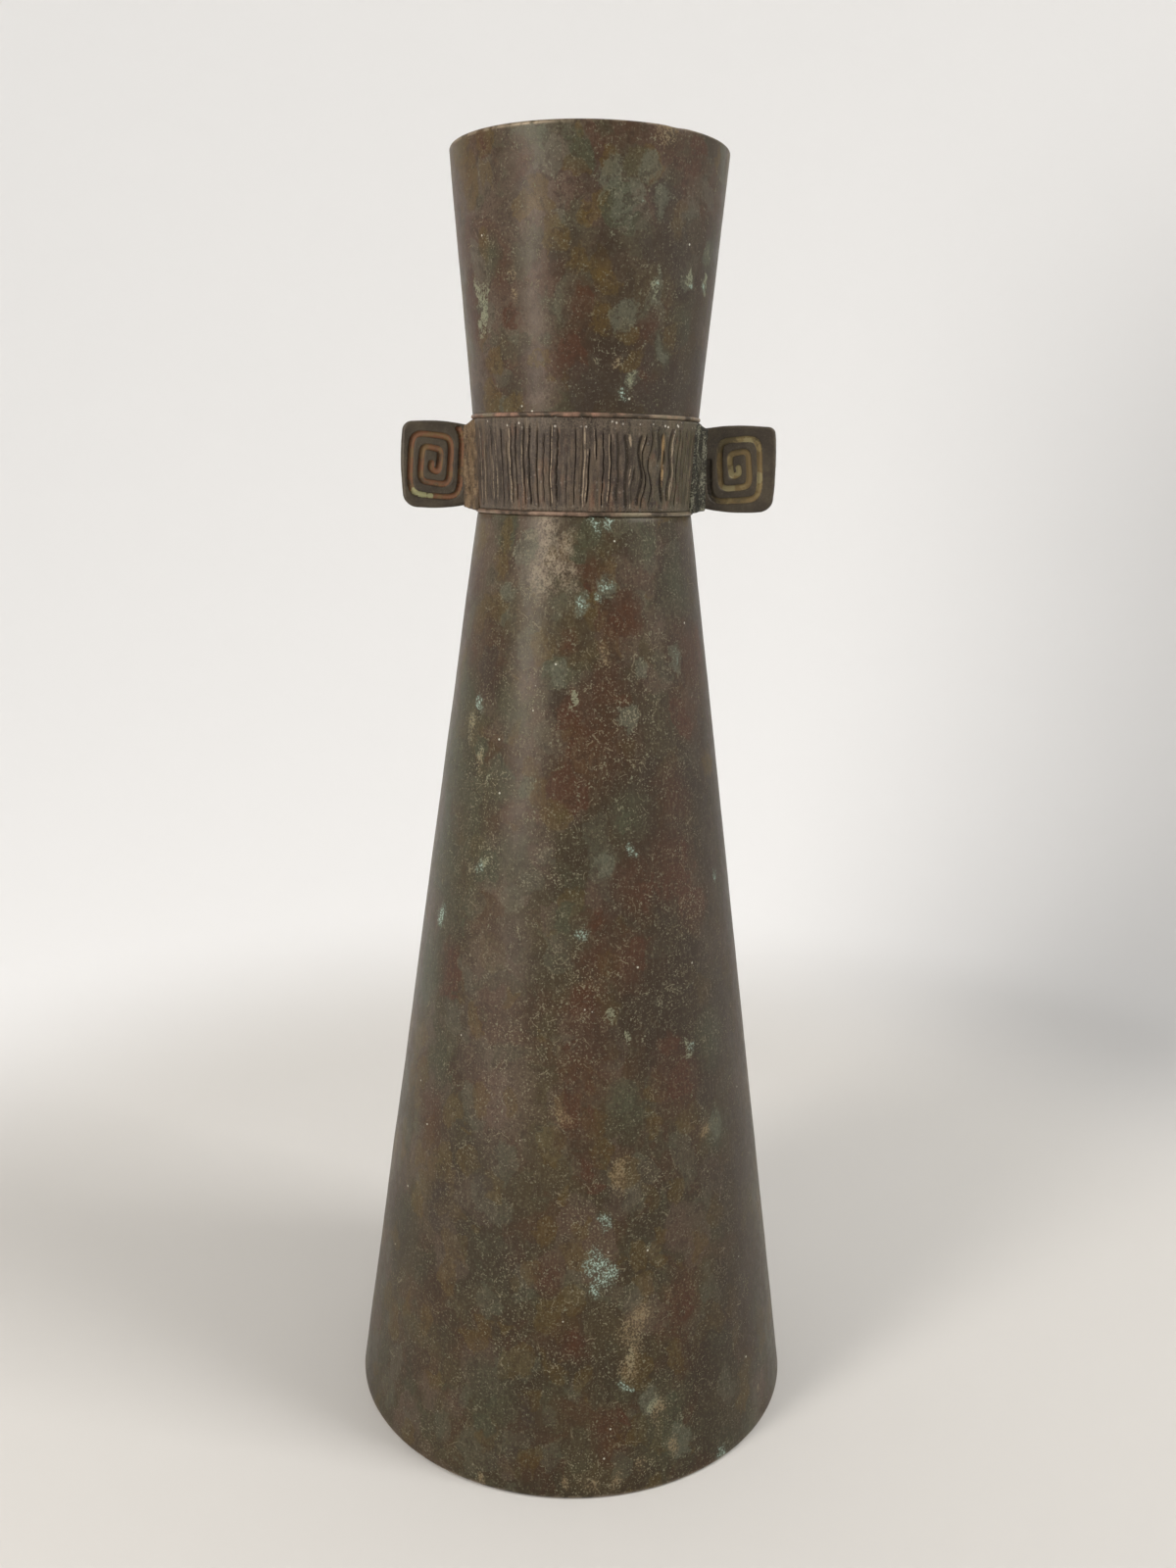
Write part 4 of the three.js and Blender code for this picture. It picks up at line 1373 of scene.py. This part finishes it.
# A painted shadow: the soft far end of the vase's shadow from the left panel, painted darker on the sweep
# at the back right
SHADE_BEARING = math.radians(44)
SHADE_FADE = (math.radians(2), math.radians(36))
SHADE_START = (170.0, 300.0)
SHADE_TOP = (150.0, 700.0)
SHADE_DEPTH = 0.42
SHADE_COLOR = (0.02, 0.02, 0.02, 1)


def make_stage():
    clear_selection()
    bpy.ops.mesh.primitive_circle_add(vertices=STAGE_COLUMNS, radius=FLOOR_RADIUS, fill_type="NGON")
    bowl = open_piece("pale_sweep")
    pick(bowl, "EDGE", lambda edge: edge.is_boundary)
    sweep = arc(FLOOR_RADIUS, SWEEP_RADIUS, SWEEP_RADIUS, -90, 0, SWEEP_STEPS)
    draw_out(sweep + [(FLOOR_RADIUS + SWEEP_RADIUS, WALL_TOP)])
    close_piece(inside=True)
    smooth_shading(bowl, 60)
    finish = Finish("pale paper")
    radius = finish.from_axis()
    finish.ground(radius, *FLOOR_FADE, FLOOR_COLOR, WALL_COLOR)
    # Painted shadow: darker along the bearing of the vase's shadow, away from the vase and low on the wall
    aside = abs(finish.maths("ARCTAN2", finish.y, finish.x) - SHADE_BEARING)
    shade = finish.fade(aside, *SHADE_FADE) * finish.step(radius, *SHADE_START)
    shade = shade * finish.fade(finish.z, *SHADE_TOP)
    finish.coat(shade * SHADE_DEPTH, SHADE_COLOR)
    finish.feed(finish.shader.inputs["Base Color"], finish.color)
    finish.shader.inputs["Roughness"].default_value = PAPER_ROUGHNESS
    bowl.data.materials.append(finish.material)


make_stage()


# Light: a tall soft panel at the front left, a high one at the right, a wash on the wall, and a pale room
def around(bearing, distance, height):
    """A place round the vase: degrees from the right ear, metres from the axis, metres up."""
    angle = math.radians(bearing)
    return Vector((distance * math.cos(angle), distance * math.sin(angle), height))


def make_panel(name, place, aim, width, tall, watts, color):
    panel = bpy.data.lights.new(name, "AREA")
    panel.shape = "RECTANGLE"
    panel.size = width
    panel.size_y = tall
    panel.energy = watts
    panel.color = color
    lamp = bpy.data.objects.new(name, panel)
    lamp.location = place
    lamp.rotation_euler = (aim - place).to_track_quat("-Z", "Y").to_euler()
    lamp.visible_camera = False
    bpy.context.collection.objects.link(lamp)


WARM_LIGHT = (1.0, 0.95, 0.9)
PLAIN_LIGHT = (1.0, 0.98, 0.96)
WASH_LIGHT = (1.0, 0.965, 0.915)
LEFT_AIM = Vector((0, 0, 0.36))
RIGHT_AIM = Vector((0, 0, 0.13))
WASH_AIM = around(90, 1.4, 0.95)
LEFT_PLACE = around(-138, 0.6, 0.46)
RIGHT_PLACE = around(-18, 0.95, 0.95)
WASH_PLACE = around(90, 0.3, 1.4)
make_panel("left panel", LEFT_PLACE, LEFT_AIM, width=0.16, tall=0.7, watts=3.8, color=WARM_LIGHT)
make_panel("right panel", RIGHT_PLACE, RIGHT_AIM, width=0.42, tall=0.6, watts=9.2, color=PLAIN_LIGHT)
make_panel("wall wash", WASH_PLACE, WASH_AIM, width=1.4, tall=0.3, watts=2.9, color=WASH_LIGHT)

ROOM_COLOR = (0.965, 0.97, 0.98, 1)
ROOM_STRENGTH = 0.64
world = bpy.data.worlds.new("pale room")
bpy.context.scene.world = world
world.use_nodes = True
room = world.node_tree.nodes["Background"]
room.inputs["Color"].default_value = ROOM_COLOR
room.inputs["Strength"].default_value = ROOM_STRENGTH

# Camera, as the vase was seen: from nearby, at three quarters of its height, tipped down
SENSOR_WIDTH = 36
FOCAL_LENGTH = 30.915
CAMERA_PLACE = (1.7 * MM, -289.85 * MM, 209.4 * MM)
CAMERA_TIP = 13.11
CAMERA_ROLL = 0.94
camera_data = bpy.data.cameras.new("camera")
camera_data.sensor_width = SENSOR_WIDTH
camera_data.lens = FOCAL_LENGTH
camera = bpy.data.objects.new("camera", camera_data)
camera.location = CAMERA_PLACE
tip_down = Matrix.Rotation(math.radians(90 - CAMERA_TIP), 4, "X")
roll = Matrix.Rotation(math.radians(CAMERA_ROLL), 4, "Z")
camera.rotation_euler = (tip_down @ roll).to_euler()
bpy.context.collection.objects.link(camera)
bpy.context.scene.camera = camera
bpy.context.scene.view_settings.view_transform = "Standard"

clear_selection()
